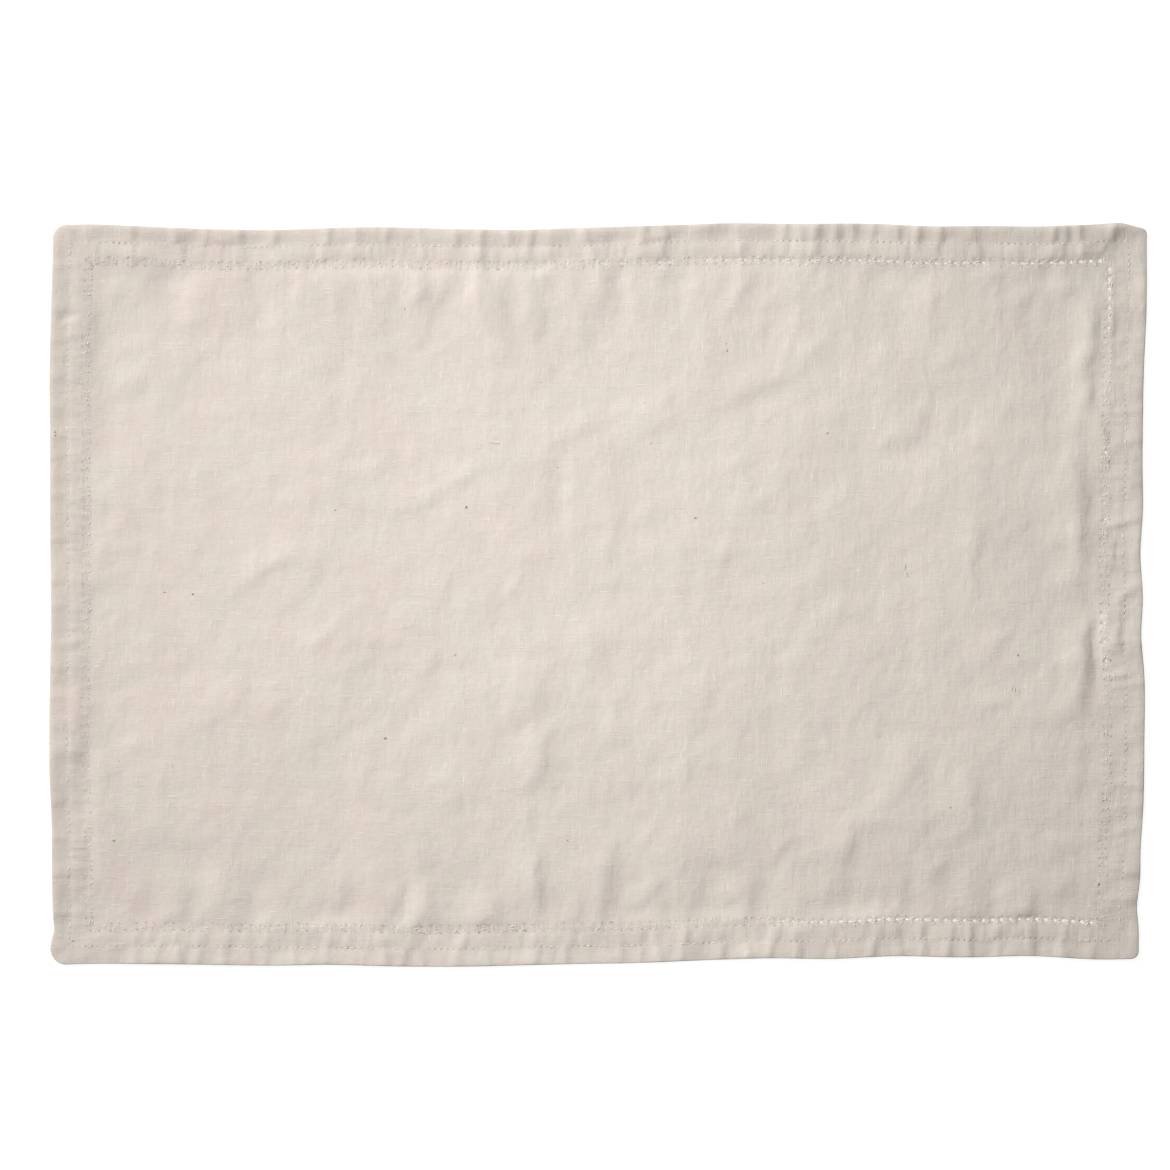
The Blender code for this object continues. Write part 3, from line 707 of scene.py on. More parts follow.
def ring_number(count_i, count_j):
    """How many cells each small cell is in from the lattice's border."""
    i, j = np.meshgrid(np.arange(count_i), np.arange(count_j), indexing="ij")
    return np.minimum(np.minimum(i, count_i - 1 - i), np.minimum(j, count_j - 1 - j))


def hole_centres(count_i, count_j):
    """Lattice points at the middle of each hole, and whether its side runs along X."""
    first = len(HEM_LINES) + CELLS_PER_HOLE // 2
    along_i = np.arange(first, count_i - len(HEM_LINES), CELLS_PER_HOLE)
    along_j = np.arange(first, count_j - len(HEM_LINES), CELLS_PER_HOLE)
    near_i, far_i = np.full(len(along_j), HOLE_LINE), np.full(len(along_j), count_i - HOLE_LINE)
    near_j, far_j = np.full(len(along_i), HOLE_LINE), np.full(len(along_i), count_j - HOLE_LINE)
    i = np.concatenate([along_i, along_i, near_i, far_i])
    j = np.concatenate([near_j, far_j, along_j, along_j])
    flat = np.arange(len(i)) < 2 * len(along_i)
    return i, j, flat


def openness(x, y, flat):
    """How open the hemstitch is at each place, from its side's table."""
    return pick(along_sides(HOLES, x, y), x, y, flat)


def shape_holes(x, y, cloth):
    """Moves the eight points round each open hole onto an ellipse, flatter where it is
    less open, and says which lattice points those are and where the holes are."""
    i, j, flat = hole_centres(x.shape[0] - 1, x.shape[1] - 1)
    opened = openness(x[i, j], y[i, j], flat)
    opened = opened + np.random.default_rng(21).uniform(-HOLE_CHANCE, HOLE_CHANCE, len(i))
    is_open = opened > SHUT
    i, j, flat, opened = i[is_open], j[is_open], flat[is_open], opened[is_open]
    centre_x, centre_y = x[i, j].copy(), y[i, j].copy()
    half_along = cloth.hole_length / 2 * (LEAST_LENGTH + (1.0 - LEAST_LENGTH) * opened)
    half_across = cloth.hole_width / 2 * (LEAST_WIDTH + (1.0 - LEAST_WIDTH) * opened)
    uneven = np.random.default_rng(22).uniform(1.0 - HOLE_UNEVEN, 1.0 + HOLE_UNEVEN, (3, 3, len(i)))
    edge = np.zeros(x.shape, dtype=bool)
    for di in (-1, 0, 1):
        for dj in (-1, 0, 1):
            edge[i + di, j + dj] = True
            if di == dj == 0:
                continue
            reach = uneven[di, dj] / np.hypot(di, dj)
            run = np.where(flat, di, dj) * reach * half_along
            rise = np.where(flat, dj, di) * reach * half_across
            x[i + di, j + dj] = centre_x + np.where(flat, run, rise)
            y[i + di, j + dj] = centre_y + np.where(flat, rise, run)
    return edge, i, j


def needle_pits(top, x, y):
    """Sinks the two places beside each shut hole, where the needle goes in."""
    i, j, flat = hole_centres(top.shape[0] - 1, top.shape[1] - 1)
    shut = 1.0 - np.clip(openness(x[i, j], y[i, j], flat), 0.0, 1.0)
    deep = np.random.default_rng(23).uniform(*PIT_SINK, (2, len(i))) * MM * shut
    for side, shift, sink in zip((-PIT_LINES, PIT_LINES), (0, CELLS_PER_HOLE // 2), deep):
        top[np.where(flat, i + shift, i + side), np.where(flat, j + side, j + shift)] -= sink


def sheet_mesh(name, cloth):
    """The closed sheet: fine at the hem, coarser in the field and on the wrong side.

    Both sides are height fields over one lattice. They share their points at the
    rim and round each hole, where the cloth's edge is rolled shut.
    """
    x, y = np.meshgrid(lattice_lines(HALF_LENGTH), lattice_lines(HALF_WIDTH), indexing="ij")
    count_i, count_j = x.shape[0] - 1, x.shape[1] - 1
    ring = ring_number(count_i, count_j)
    band = len(HEM_LINES)
    edge, hole_i, hole_j = shape_holes(x, y, cloth)
    kept = np.ones((count_i, count_j), dtype=bool)
    for di in (-1, 0):
        for dj in (-1, 0):
            kept[hole_i + di, hole_j + dj] = False
    upper_step = np.where(ring < band, 1, 2)
    near_holes = (ring >= (HOLE_LINE - PIT_LINES) // 2 * 2) & (ring < band)
    under_step = np.where((ring < RIM_CELLS) | near_holes, 1, np.where(ring < band, 2, 4))
    upper_faces = cell_faces(upper_step, kept)
    under_faces = cell_faces(under_step, kept)

    top, bottom = upper_side(x, y), under_side(x, y)
    rim = np.zeros(x.shape, dtype=bool)
    rim[[0, -1], :] = True
    rim[:, [0, -1]] = True
    shared = edge | rim
    middle = np.where(rim, (top + bottom) / 2, bottom + HOLE_EDGE * (top - bottom))
    needle_pits(top, x, y)
    top[shared], bottom[shared] = middle[shared], middle[shared]

    total = x.size
    under_id = np.arange(total) + total
    under_id[shared.ravel()] = np.arange(total)[shared.ravel()]
    faces = list(upper_faces) + [under_id[group[:, ::-1]] for group in under_faces]
    laid_x, laid_y = lay_out(x, y)
    points = np.vstack([
        np.column_stack([laid_x.ravel(), laid_y.ravel(), height.ravel()])
        for height in (top, bottom)
    ])
    maps = {
        "lay": np.column_stack([x.ravel(), y.ravel()]),
        "sew": seam_map(x, y, STITCH_DEPTH, cloth.stitch_pitch) - (0.0, 1.0) * stray(x, y),
        "drawn": seam_map(x, y, BAND, HOLE_PITCH) + (0.5, 0.0),
        "shut": shut_map(x, y),
    }
    maps = {key: np.tile(value, (2, 1)) for key, value in maps.items()}
    in_use = np.zeros(2 * total, dtype=bool)
    for group in faces:
        in_use[group.ravel()] = True
    new_id = np.cumsum(in_use) - 1
    faces = [new_id[group] for group in faces]
    mesh = build_mesh(name, points[in_use], faces, {k: v[in_use] for k, v in maps.items()})
    mesh.set_sharp_from_angle(angle=np.radians(90.0))
    return mesh


def seam_map(x, y, inset, pitch):
    """A map along a seam: stitches counted along its side, and depth. The seam's ends
    are inset from the corners, and its pitch is made to fit between them."""
    from_short, from_long = depths(x, y)
    on_long = from_long <= from_short
    half = np.where(on_long, HALF_LENGTH, HALF_WIDTH) - inset
    count = np.round(2 * half / pitch)
    stitches = (np.where(on_long, x, y) + half) / (2 * half) * count
    return np.column_stack([stitches.ravel(), np.minimum(from_short, from_long).ravel()])


def shut_map(x, y):
    """A map of how far the hemstitch is drawn shut, the same in both directions."""
    from_short, from_long = depths(x, y)
    shut = 1.0 - np.clip(openness(x, y, from_long <= from_short), 0.0, 1.0)
    return np.column_stack([shut.ravel(), shut.ravel()])


def build_mesh(name, points, face_groups, maps):
    """A smooth-shaded mesh from arrays; maps gives each UV map's place for each point."""
    lengths = np.concatenate([np.full(len(g), g.shape[1]) for g in face_groups])
    corners = np.concatenate([g.ravel() for g in face_groups])
    mesh = bpy.data.meshes.new(name)
    mesh.vertices.add(len(points))
    mesh.vertices.foreach_set("co", points.astype(np.float32).ravel())
    mesh.loops.add(len(corners))
    mesh.loops.foreach_set("vertex_index", corners.astype(np.int32))
    mesh.polygons.add(len(lengths))
    starts = np.concatenate([[0], np.cumsum(lengths)[:-1]])
    mesh.polygons.foreach_set("loop_start", starts.astype(np.int32))
    mesh.update(calc_edges=True)
    mesh.validate()
    for key, places in maps.items():
        layer = mesh.uv_layers.new(name=key)
        layer.data.foreach_set("uv", places[corners].astype(np.float32).ravel())
    mesh.shade_smooth()
    return mesh


# ---------------------------------------------------------------- threads


def stray(x, y):
    """How far the lockstitch strays in from its straight line."""
    return STRAY * MM * crumple(x, y, STRAY_CELL, STRAY_CELL, 51).reshape(-1, 1)


def side_runs(depth, pitch):
    """Stitch middles round the mat at one depth: straight places and unit directions."""
    half_x, half_y = HALF_LENGTH - depth, HALF_WIDTH - depth
    runs = []
    for start, end in (
        ((-half_x, half_y), (half_x, half_y)),
        ((half_x, half_y), (half_x, -half_y)),
        ((half_x, -half_y), (-half_x, -half_y)),
        ((-half_x, -half_y), (-half_x, half_y)),
    ):
        start, end = np.array(start), np.array(end)
        length = np.linalg.norm(end - start)
        count = round(length / pitch)
        t = (np.arange(count) + 0.5) / count
        direction = (end - start) / length
        runs.append((start + t[:, None] * (end - start), np.tile(direction, (count, 1))))
    places = np.vstack([run[0] for run in runs])
    directions = np.vstack([run[1] for run in runs])
    return places, directions


def strands(places, directions, lengths, radius, crown, sink, sides=6, rings=7):
    """Short lengths of thread that arch over the cloth and sink into it at both ends.

    The middle line follows the cloth's right side, raised by crown times one minus
    the fourth power of the run from the middle, less sink. Each ring's radius
    shrinks to half at the ends.
    """
    run = np.linspace(-1.0, 1.0, rings)
    around = np.arange(sides) / sides * 2 * np.pi
    step = run[None, :] * lengths[:, None] / 2
    line = places[:, None, :] + directions[:, None, :] * step[..., None]
    normal = np.column_stack([-directions[:, 1], directions[:, 0]])
    width = radius[:, None] * (1.0 - 0.5 * run[None, :] ** 6)
    offset = width[:, :, None] * np.cos(around)[None, None, :]
    x = line[:, :, None, 0] + normal[:, None, None, 0] * offset
    y = line[:, :, None, 1] + normal[:, None, None, 1] * offset
    base = upper_side(line[..., 0], line[..., 1])
    arch = crown[:, None] * (1.0 - run[None, :] ** 4) - sink
    z = (base + arch)[:, :, None] + width[:, :, None] * np.sin(around)[None, None, :]
    laid_x, laid_y = lay_out(x, y)
    points = np.stack([laid_x, laid_y, z], axis=-1).reshape(-1, 3)
    count = len(places)
    first = (np.arange(count) * rings * sides)[:, None, None]
    ring_id = (np.arange(rings - 1) * sides)[None, :, None]
    here, there = np.arange(sides), (np.arange(sides) + 1) % sides
    quads = np.stack([
        first + ring_id + here, first + ring_id + sides + here,
        first + ring_id + sides + there, first + ring_id + there,
    ], axis=-1).reshape(-1, 4)
    start_cap = first[:, 0] + here[None, :]
    end_cap = first[:, 0] + (rings - 1) * sides + here[None, ::-1]
    u = np.broadcast_to((run * 0.5)[None, :, None] * lengths[:, None, None], (count, rings, sides))
    v = np.broadcast_to(around[None, None, :], (count, rings, sides)) / (2 * np.pi)
    uv = np.stack([u, v * 2 * np.pi * radius[:, None, None]], axis=-1).reshape(-1, 2)
    return points, [quads, start_cap, end_cap], uv


def join_strands(name, parts):
    """One mesh from several lots of strands."""
    points, groups, uvs, offset = [], [], [], 0
    for part_points, part_groups, part_uv in parts:
        points.append(part_points)
        uvs.append(part_uv)
        groups.extend(group + offset for group in part_groups)
        offset += len(part_points)
    return build_mesh(name, np.vstack(points), groups, {"lay": np.vstack(uvs)})


def turn(directions, degrees):
    """Unit directions, each turned by its angle."""
    c, s = np.cos(np.radians(degrees)), np.sin(np.radians(degrees))
    return np.column_stack([directions[:, 0] * c - directions[:, 1] * s,
                            directions[:, 0] * s + directions[:, 1] * c])


def bar_places(depth):
    """Middles of the bars between the holes, moved to one depth, with their directions
    and how open the holes beside them are."""
    places, directions, is_open = [], [], []
    band = len(HEM_LINES)
    for half, other, axis in ((HALF_LENGTH, HALF_WIDTH, 0), (HALF_WIDTH, HALF_LENGTH, 1)):
        bars = lattice_lines(half)[band:-band:CELLS_PER_HOLE]
        for sign in (-1, 1):
            place = np.zeros((len(bars), 2))
            place[:, axis] = bars
            place[:, 1 - axis] = sign * (other - depth)
            direction = np.zeros((len(bars), 2))
            direction[:, axis] = 1.0
            places.append(place)
            directions.append(direction)
            is_open.append(openness(place[:, 0], place[:, 1], axis == 0))
    return np.vstack(places), np.vstack(directions), np.clip(np.concatenate(is_open), 0.0, 1.0)


def thread_row(cloth, random, row):
    """One row of the hemstitch's thread, which leans less where the holes are open."""
    places, directions, is_open = bar_places(row.depth * MM)
    count = len(places)
    lean = row.lean * (1.0 - 0.8 * is_open) + random.normal(0.0, 22.0, count)
    places = places + random.uniform(-0.45, 0.45, (count, 2)) * MM
    lengths = HOLE_PITCH * row.share * random.uniform(0.6, 1.15, count)
    sink = random.uniform(0.20, 0.34, count)[:, None]
    radius = cloth.thread_width / 2 * random.uniform(0.75, 1.05, count)
    return strands(places, turn(directions, lean), lengths, radius, radius, sink * MM)


def hole_fibres(cloth, random):
    """Fine fibres across each hole that may be open, some along it and some across."""
    places, directions, is_open = bar_places(HOLE_DEPTH)
    may_open = is_open > SHUT - HOLE_CHANCE
    places = (places + directions * HOLE_PITCH / 2)[may_open]
    directions = directions[may_open]
    count = len(places)
    radius = np.full(count, cloth.thread_width * 0.27)
    lengths = np.full(count, cloth.hole_length * 1.35)
    fibres = []
    for row in LOOSE_FIBRES:
        turned = turn(directions, random.normal(row.lean, 9.0, count))
        shifted = places + turn(turned, 90.0) * row.aside * MM
        shifted = shifted + random.uniform(-0.12, 0.12, (count, 2)) * MM
        fibres.append(strands(shifted, turned, lengths, radius, 0.5 * radius, 0.25 * MM, 4, 5))
    return fibres


def fibre_mesh(name, rows, sink):
    """A piece of short fibres, each lying in the cloth's right side at its table row."""
    x, y, length, width, angle = np.array(rows, dtype=float).T
    angle = np.radians(angle)
    places = np.column_stack([x, y]) * MM
    directions = np.column_stack([np.cos(angle), np.sin(angle)])
    radius = width / 2 * MM
    return join_strands(name, [
        strands(places, directions, length * MM, radius, 0.6 * radius, sink + 0.4 * radius.min())
    ])


# ---------------------------------------------------------------- materials


class Signal:
    """A number that a material works out at each place. Arithmetic on it adds the Math
    nodes that work the result out."""

    def __init__(self, socket):
        self.socket = socket

    def maths(self, operation, *others):
        """The result of one of Blender's Math operations on this and other numbers."""
        sockets = dict(enumerate((self, *others)))
        return Signal(add(self.socket.id_data, "Math", {"operation": operation}, sockets).outputs[0])

    def __add__(self, other):
        return self.maths("ADD", other)

    def __sub__(self, other):
        return self.maths("SUBTRACT", other)

    def __rsub__(self, other):
        return self.maths("MULTIPLY_ADD", -1.0, other)

    def __mul__(self, other):
        return self.maths("MULTIPLY", other)

    def __truediv__(self, other):
        return self.maths("DIVIDE", other)

    def __pow__(self, other):
        return self.maths("POWER", other)

    def __abs__(self):
        return self.maths("ABSOLUTE")


def add(tree, kind, settings=None, sockets=None):
    """Adds a node. A socket, by name or number, is given a value, a signal or another
    node's output."""
    node = tree.nodes.new("ShaderNode" + kind)
    for key, value in (settings or {}).items():
        setattr(node, key, value)
    for key, value in (sockets or {}).items():
        if isinstance(value, Signal):
            value = value.socket
        if isinstance(value, bpy.types.NodeSocket):
            tree.links.new(value, node.inputs[key])
        else:
            node.inputs[key].default_value = value
    return node


def total(base, *terms):
    """A base number and each given signal times its weight, added up."""
    for signal, weight in terms:
        base = signal.maths("MULTIPLY_ADD", weight, base)
    return base


def linear(hex_colour):
    """An sRGB hex colour as linear red, green, blue and alpha."""
    value = hex_colour.lstrip("#")
    parts = [int(value[i:i + 2], 16) / 255 for i in (0, 2, 4)]
    light = [c / 12.92 if c <= 0.04045 else ((c + 0.055) / 1.055) ** 2.4 for c in parts]
    return (*light, 1.0)


def material_with_shader(name):
    """A new material, its tree and its Principled shader, linked to the output."""
    material = bpy.data.materials.new(name)
    material.use_nodes = True
    tree = material.node_tree
    return material, tree, tree.nodes["Principled BSDF"]


def noise(tree, place, scale, detail=1.0, roughness=0.5):
    """A seeded noise about 0, from about -0.5 to 0.5."""
    node = add(tree, "TexNoise", {"noise_dimensions": "3D"},
               {"Vector": place, "Scale": scale, "Detail": detail, "Roughness": roughness})
    return Signal(node.outputs[0]) - 0.5


def streaks(tree, place, across, along, shift):
    """Noise of one yarn's grain: across wide in X and along long in Y, from its shift."""
    mapped = add(tree, "Mapping", {"vector_type": "POINT"},
                 {"Vector": place, "Location": (shift, shift, shift),
                  "Scale": (1 / across, 1 / along, 1.0)})
    return noise(tree, mapped.outputs[0], 1.0, 1.0, 0.55)


def dashes(tree, place, across, along, shift):
    """Thick or thin places of single yarns: only the peaks of that grain's streaks."""
    return (streaks(tree, place, across, along, shift) - 0.13).maths("MAXIMUM", 0.0)


def map_parts(tree, uv_map):
    """The two numbers of a UV map."""
    uv = add(tree, "UVMap", {"uv_map": uv_map}).outputs[0]
    parts = add(tree, "SeparateXYZ", None, {0: uv})
    return Signal(parts.outputs[0]), Signal(parts.outputs[1])


def seam(tree, uv_map, slant=0.0, middle=0.0, parts_of=1.0):
    """Distance along a seam from its nearest needle hole, in stitches or in parts of
    them, and depth. The row leans by slant stitches for each metre of depth."""
    count, depth = map_parts(tree, uv_map)
    leaning = (depth - middle).maths("MULTIPLY_ADD", slant, count)
    return leaning.maths("MULTIPLY_ADD", parts_of, 0.5).maths("FRACT") - 0.5, depth


def pit(away, depth, middle, half_along, half_across):
    """A soft round pit: one at its middle, falling as a bell in both directions."""
    along, across = away / half_along, (depth - middle) / half_across
    return (0.0 - (along ** 2.0 + across ** 2.0)).maths("EXPONENT")


def shown(signal, weight, base):
    """How strongly a mark shows: a noise times its weight on a base, and never below 0."""
    return total(base, (signal, weight)).maths("MAXIMUM", 0.0)


# The painted shade in the hemstitch's two rows of needle holes, which are also pressed
# into the relief: their depth in mm, and how many stitches they lean for each metre of depth.
HoleRow = namedtuple("HoleRow", "depth slant")
HOLE_ROWS = named_rows(HoleRow, [(15.2, 170.0), (18.4, 120.0)])
# The strokes between the rows, painted shadows of the shut holes' slits: their slant as
# above, and how many there are to a hole.
# The long sides' ends, where the left side's thread is no longer slack, start so far
# above and below the middle.
STROKE_SLANT = 92.0
STROKES_PER_HOLE = 2.0
LONG_SIDE_START = 145 * MM


def sewing_pits_and_shade(tree, shut, tight):
    """How deep the needle holes are, and how dark their painted shade and the thread's
    painted shadows are: the sum of the lockstitch's holes, the two rows beside the
    hemstitch, and the slanted strokes between them where its holes are shut, which are
    painted shadows of their slits, times how tight the thread is."""
    place = add(tree, "TexCoord").outputs["Object"]
    seen, fine, jitter = [noise(tree, place, scale) for scale in (75.0, 210.0, 240.0)]
    sewn, depth = seam(tree, "sew")
    stitch = pit(total(sewn, (jitter, 0.7)), depth, STITCH_DEPTH, 0.12, 0.38 * MM)
    pit_depth_and_shade = stitch * shown(seen, 5.0, 0.55)
    for row in HOLE_ROWS:
        drawn, depth = seam(tree, "drawn", row.slant, row.depth * MM)
        strayed = total(depth, (seen, 2.2 * MM))
        hole = pit(total(drawn, (jitter, 0.9)), strayed, row.depth * MM, 0.10, 0.50 * MM)
        pit_depth_and_shade = pit_depth_and_shade + hole * shown(fine, 3.6, 0.70) * total(0.4, (shut, 0.6))
    drawn, depth = seam(tree, "drawn", STROKE_SLANT, HOLE_DEPTH, STROKES_PER_HOLE)
    strayed = total(depth, (seen, 2.2 * MM))
    stroke = pit(total(drawn, (jitter, 1.6)), strayed, HOLE_DEPTH, 0.15, 1.6 * MM)
    return total(pit_depth_and_shade, (stroke * shown(fine, 2.6, 0.75) * shut, 0.34)) * tight


# Painted shade by depth, as a share of LAYER_RANGE: the cloth is painted darker in the
# hem's layers, where less of the table's light comes through, and darkest by the holes,
# where shade falls.
LAYER_RANGE = 25.0 * MM
Shade = namedtuple("Shade", "at light")
PAINTED_LAYER_SHADES = named_rows(Shade, [
    (0.0, 0.945), (0.26, 0.945), (0.36, 0.975), (0.55, 0.965), (0.66, 0.94), (0.76, 0.98), (0.84, 1.0),
])


def washed_linen(finish):
    """Plain-weave flax linen, piece dyed pale, washed soft and tumbled: a dry matt face
    with uneven yarns, thick places in both directions and no shine but a faint nap. Its
    colour has painted shade, a little darker where it is layered and dark in the needle
    holes, and a painted highlight that makes it palest round the open holes. Its yarns are
    really about 0.3 mm apart, too fine to show, and are drawn twice as coarse."""
    material, tree, shader = material_with_shader("washed_plain_weave_linen")
    place = add(tree, "TexCoord").outputs["Object"]
    parts = add(tree, "SeparateXYZ", None, {0: place})
    x, y = Signal(parts.outputs[0]), Signal(parts.outputs[1])

    yarn = finish.yarn_pitch
    warp = streaks(tree, place, yarn, 5.5 * MM, 3.7)
    weft = streaks(tree, place, 5.5 * MM, yarn, 9.1)
    phase_x = total(x, (weft, 0.9 * yarn)) * (np.pi / yarn)
    phase_y = total(y, (warp, 0.9 * yarn)) * (np.pi / yarn)
    crowns = abs(phase_x.maths("COSINE") * phase_y.maths("COSINE")) ** 0.6 - 0.75
    ribs = streaks(tree, place, 2.6 * MM, 8 * MM, 5.3)
    cross_ribs = streaks(tree, place, 8 * MM, 2.6 * MM, 7.7)
    slubs = total(dashes(tree, place, 8 * MM, 0.8 * MM, 12.9),
                  (dashes(tree, place, 0.8 * MM, 6 * MM, 31.7), 0.9),
                  (dashes(tree, place, 5 * MM, 0.8 * MM, 47.3), -0.5))
    blotch = noise(tree, place, 38.0, 2.0)
    squeezed = add(tree, "Mapping", None, {"Vector": place, "Scale": (1.0, 0.65, 1.0)}).outputs[0]
    crease = noise(tree, squeezed, 230.0, 1.0, 0.45)
    facets = abs(noise(tree, squeezed, 90.0, 3.0, 0.58))

    # The left side's thread is slack, so its pits and their painted shade are faint, but
    # not at the ends of the long sides.
    long_side = (abs(y) - LONG_SIDE_START).maths("MAXIMUM", 0.0)
    tight = total(3.0, (x, 10.0), (long_side, 90.0)).maths("MINIMUM", 1.0)
    shut = map_parts(tree, "shut")[0]
    # The sewing's pits: painted shade in the needle holes and the thread's shadows, also pressed into
    # the relief.
    pit_depth_and_shade = sewing_pits_and_shade(tree, shut, tight)
    away, depth = seam(tree, "drawn")
    # A painted highlight round the open holes, lighter against the shade of the slope down to them.
    painted_bead_light = pit(0.5 - abs(away), depth, HOLE_DEPTH, 0.30, 1.15 * MM) * (1.0 - shut)

    # Painted shade by depth: darker over the hem's layers and darkest by the holes.
    layers = add(tree, "ValToRGB", None, {0: depth / LAYER_RANGE})
    ramp = layers.color_ramp.elements
    ramp[0].position, ramp[1].position = PAINTED_LAYER_SHADES[0].at, PAINTED_LAYER_SHADES[-1].at
    for shade in PAINTED_LAYER_SHADES[1:-1]:
        ramp.new(shade.at)
    for element, shade in zip(ramp, PAINTED_LAYER_SHADES):
        element.color = (shade.light, shade.light, shade.light, 1.0)

    mottle = noise(tree, place, 24.0) * 1.1
    mottle = total(mottle, (noise(tree, place, 95.0), 1.2), (noise(tree, place, 420.0), 0.7))
    tint = total(0.5, (mottle * total(0.80, (x, -1.2)), 1.0), (x, -0.5))
    pale = add(tree, "Mix", {"data_type": "RGBA"},
               {0: tint, 6: linear(finish.cool), 7: linear(finish.warm)}).outputs[2]
    # The cloth's tone from its yarns, weave and blotches, with the painted highlight round the open
    # holes and the painted shade of the pits.
    light = total(1.0, (warp, 0.040), (weft, 0.044), (blotch, 0.055), (crowns, 0.020),
                  (slubs, 0.65), (painted_bead_light, 0.08), (pit_depth_and_shade, -0.34))
    colour = add(tree, "Mix", {"data_type": "RGBA", "blend_type": "MULTIPLY"},
                 {0: 1.0, 6: pale, 7: light * layers.outputs[0]}).outputs[2]
    tree.links.new(colour, shader.inputs["Base Color"])

    relief = total(0.0, (crowns, 0.025 * MM), (warp, 0.04 * MM), (weft, 0.06 * MM),
                   (slubs, 0.30 * MM), (crease, 0.14 * MM), (ribs, 0.11 * MM),
                   (cross_ribs, 0.08 * MM), (facets, 0.28 * MM), (pit_depth_and_shade, -0.10 * MM))
    bump_node = add(tree, "Bump", None, {"Strength": 1.0, "Distance": 1.0, "Height": relief})
    tree.links.new(bump_node.outputs[0], shader.inputs["Normal"])
    shader.inputs["Roughness"].default_value = 0.92
    shader.inputs["Specular IOR Level"].default_value = 0.25
    shader.inputs["Sheen Weight"].default_value = 0.12
    shader.inputs["Sheen Roughness"].default_value = 0.5
    return material


def twisted_thread(name, hex_colour):
    """Thread or yarn of flax spun with a twist, with a dull surface."""
    material, tree, shader = material_with_shader(name)
    shader.inputs["Base Color"].default_value = linear(hex_colour)
    shader.inputs["Roughness"].default_value = 0.8
    shader.inputs["Specular IOR Level"].default_value = 0.3
    uv = add(tree, "UVMap", {"uv_map": "lay"}).outputs[0]
    turned = add(tree, "Mapping", None, {"Vector": uv, "Rotation": (0, 0, np.radians(35.0))})
    twist = add(tree, "TexWave", {"wave_type": "BANDS", "bands_direction": "X"},
                {"Vector": turned.outputs[0], "Scale": 700.0, "Distortion": 0.0}).outputs[1]
    bump_node = add(tree, "Bump", None, {"Strength": 0.6, "Distance": 0.05 * MM, "Height": twist})
    tree.links.new(bump_node.outputs[0], shader.inputs["Normal"])
    return material


def pale_table(stage):
    """White opal acrylic lit from below, so that the mat throws no shadow on it."""
    material, tree, shader = material_with_shader("white_opal_acrylic")
    shader.inputs["Base Color"].default_value = linear(stage.floor)
    shader.inputs["Roughness"].default_value = 0.95
    shader.inputs["Specular IOR Level"].default_value = 0.1
    shader.inputs["Emission Color"].default_value = (1.0, 1.0, 1.0, 1.0)
    shader.inputs["Emission Strength"].default_value = stage.floor_glow
    return material


# ---------------------------------------------------------------- settings


class PLACEMAT_PG_cloth(bpy.types.PropertyGroup):
    hole_length: bpy.props.FloatProperty(
        name="Hole length", description="Length along the hem of a hemstitch hole that is open",
        default=2.10 * MM, subtype="DISTANCE", unit="LENGTH")
    hole_width: bpy.props.FloatProperty(
        name="Hole width", description="Width across the hem of a hemstitch hole that is open",
        default=1.60 * MM, subtype="DISTANCE", unit="LENGTH")
    stitch_pitch: bpy.props.FloatProperty(
        name="Lockstitch", description="Length of one lockstitch of the hem",
        default=2.85 * MM, subtype="DISTANCE", unit="LENGTH")
    thread_width: bpy.props.FloatProperty(
        name="Thread", description="Thickness of the sewing thread",
        default=0.42 * MM, subtype="DISTANCE", unit="LENGTH")


class PLACEMAT_PG_finish(bpy.types.PropertyGroup):
    warm: bpy.props.StringProperty(
        name="Warm linen", description="The cloth's colour where it is pinkest", default="#CABDB5")
    cool: bpy.props.StringProperty(
        name="Cool linen", description="The cloth's colour where it is greenest", default="#C7C1B6")
    thread: bpy.props.StringProperty(
        name="Thread", description="Colour of the sewing thread", default="#D4CABF")
    slub: bpy.props.StringProperty(
        name="Slub", description="Colour of the thick places in the yarns", default="#D2C8BE")
    fleck: bpy.props.StringProperty(
        name="Fleck", description="Colour of the dark fibres in the cloth", default="#9C8768")
    yarn_pitch: bpy.props.FloatProperty(
        name="Yarn pitch", description="Distance from one yarn of the weave to the next",
        default=0.6 * MM, subtype="DISTANCE", unit="LENGTH")


class PLACEMAT_PG_stage(bpy.types.PropertyGroup):
    floor: bpy.props.StringProperty(
        name="Table", description="Colour of the table", default="#969696")
    floor_glow: bpy.props.FloatProperty(
        name="Table light", description="Strength of the table's own light", default=0.85)
    view_width: bpy.props.FloatProperty(
        name="View width", description="Width of the table that the camera sees",
        default=0.5353, subtype="DISTANCE", unit="LENGTH")
    camera_height: bpy.props.FloatProperty(
        name="Camera height", description="Height of the camera above the table",
        default=1.8, subtype="DISTANCE", unit="LENGTH")
    key_power: bpy.props.FloatProperty(
        name="Key light", description="Power of the soft light at the upper left", default=259.0)
    top_power: bpy.props.FloatProperty(
        name="Top light", description="Power of the soft light overhead", default=2.05)
    room: bpy.props.FloatProperty(
        name="Room light", description="Strength of the even light of the room", default=0.06)


# ---------------------------------------------------------------- operators


def show(name, mesh, material):
    """Puts a finished piece in the scene, on the part's body and material slot."""
    mesh.materials.append(material)
    piece = bpy.data.objects.new(name, mesh)
    bpy.context.scene.collection.objects.link(piece)
    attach(piece, BODY)
    return piece


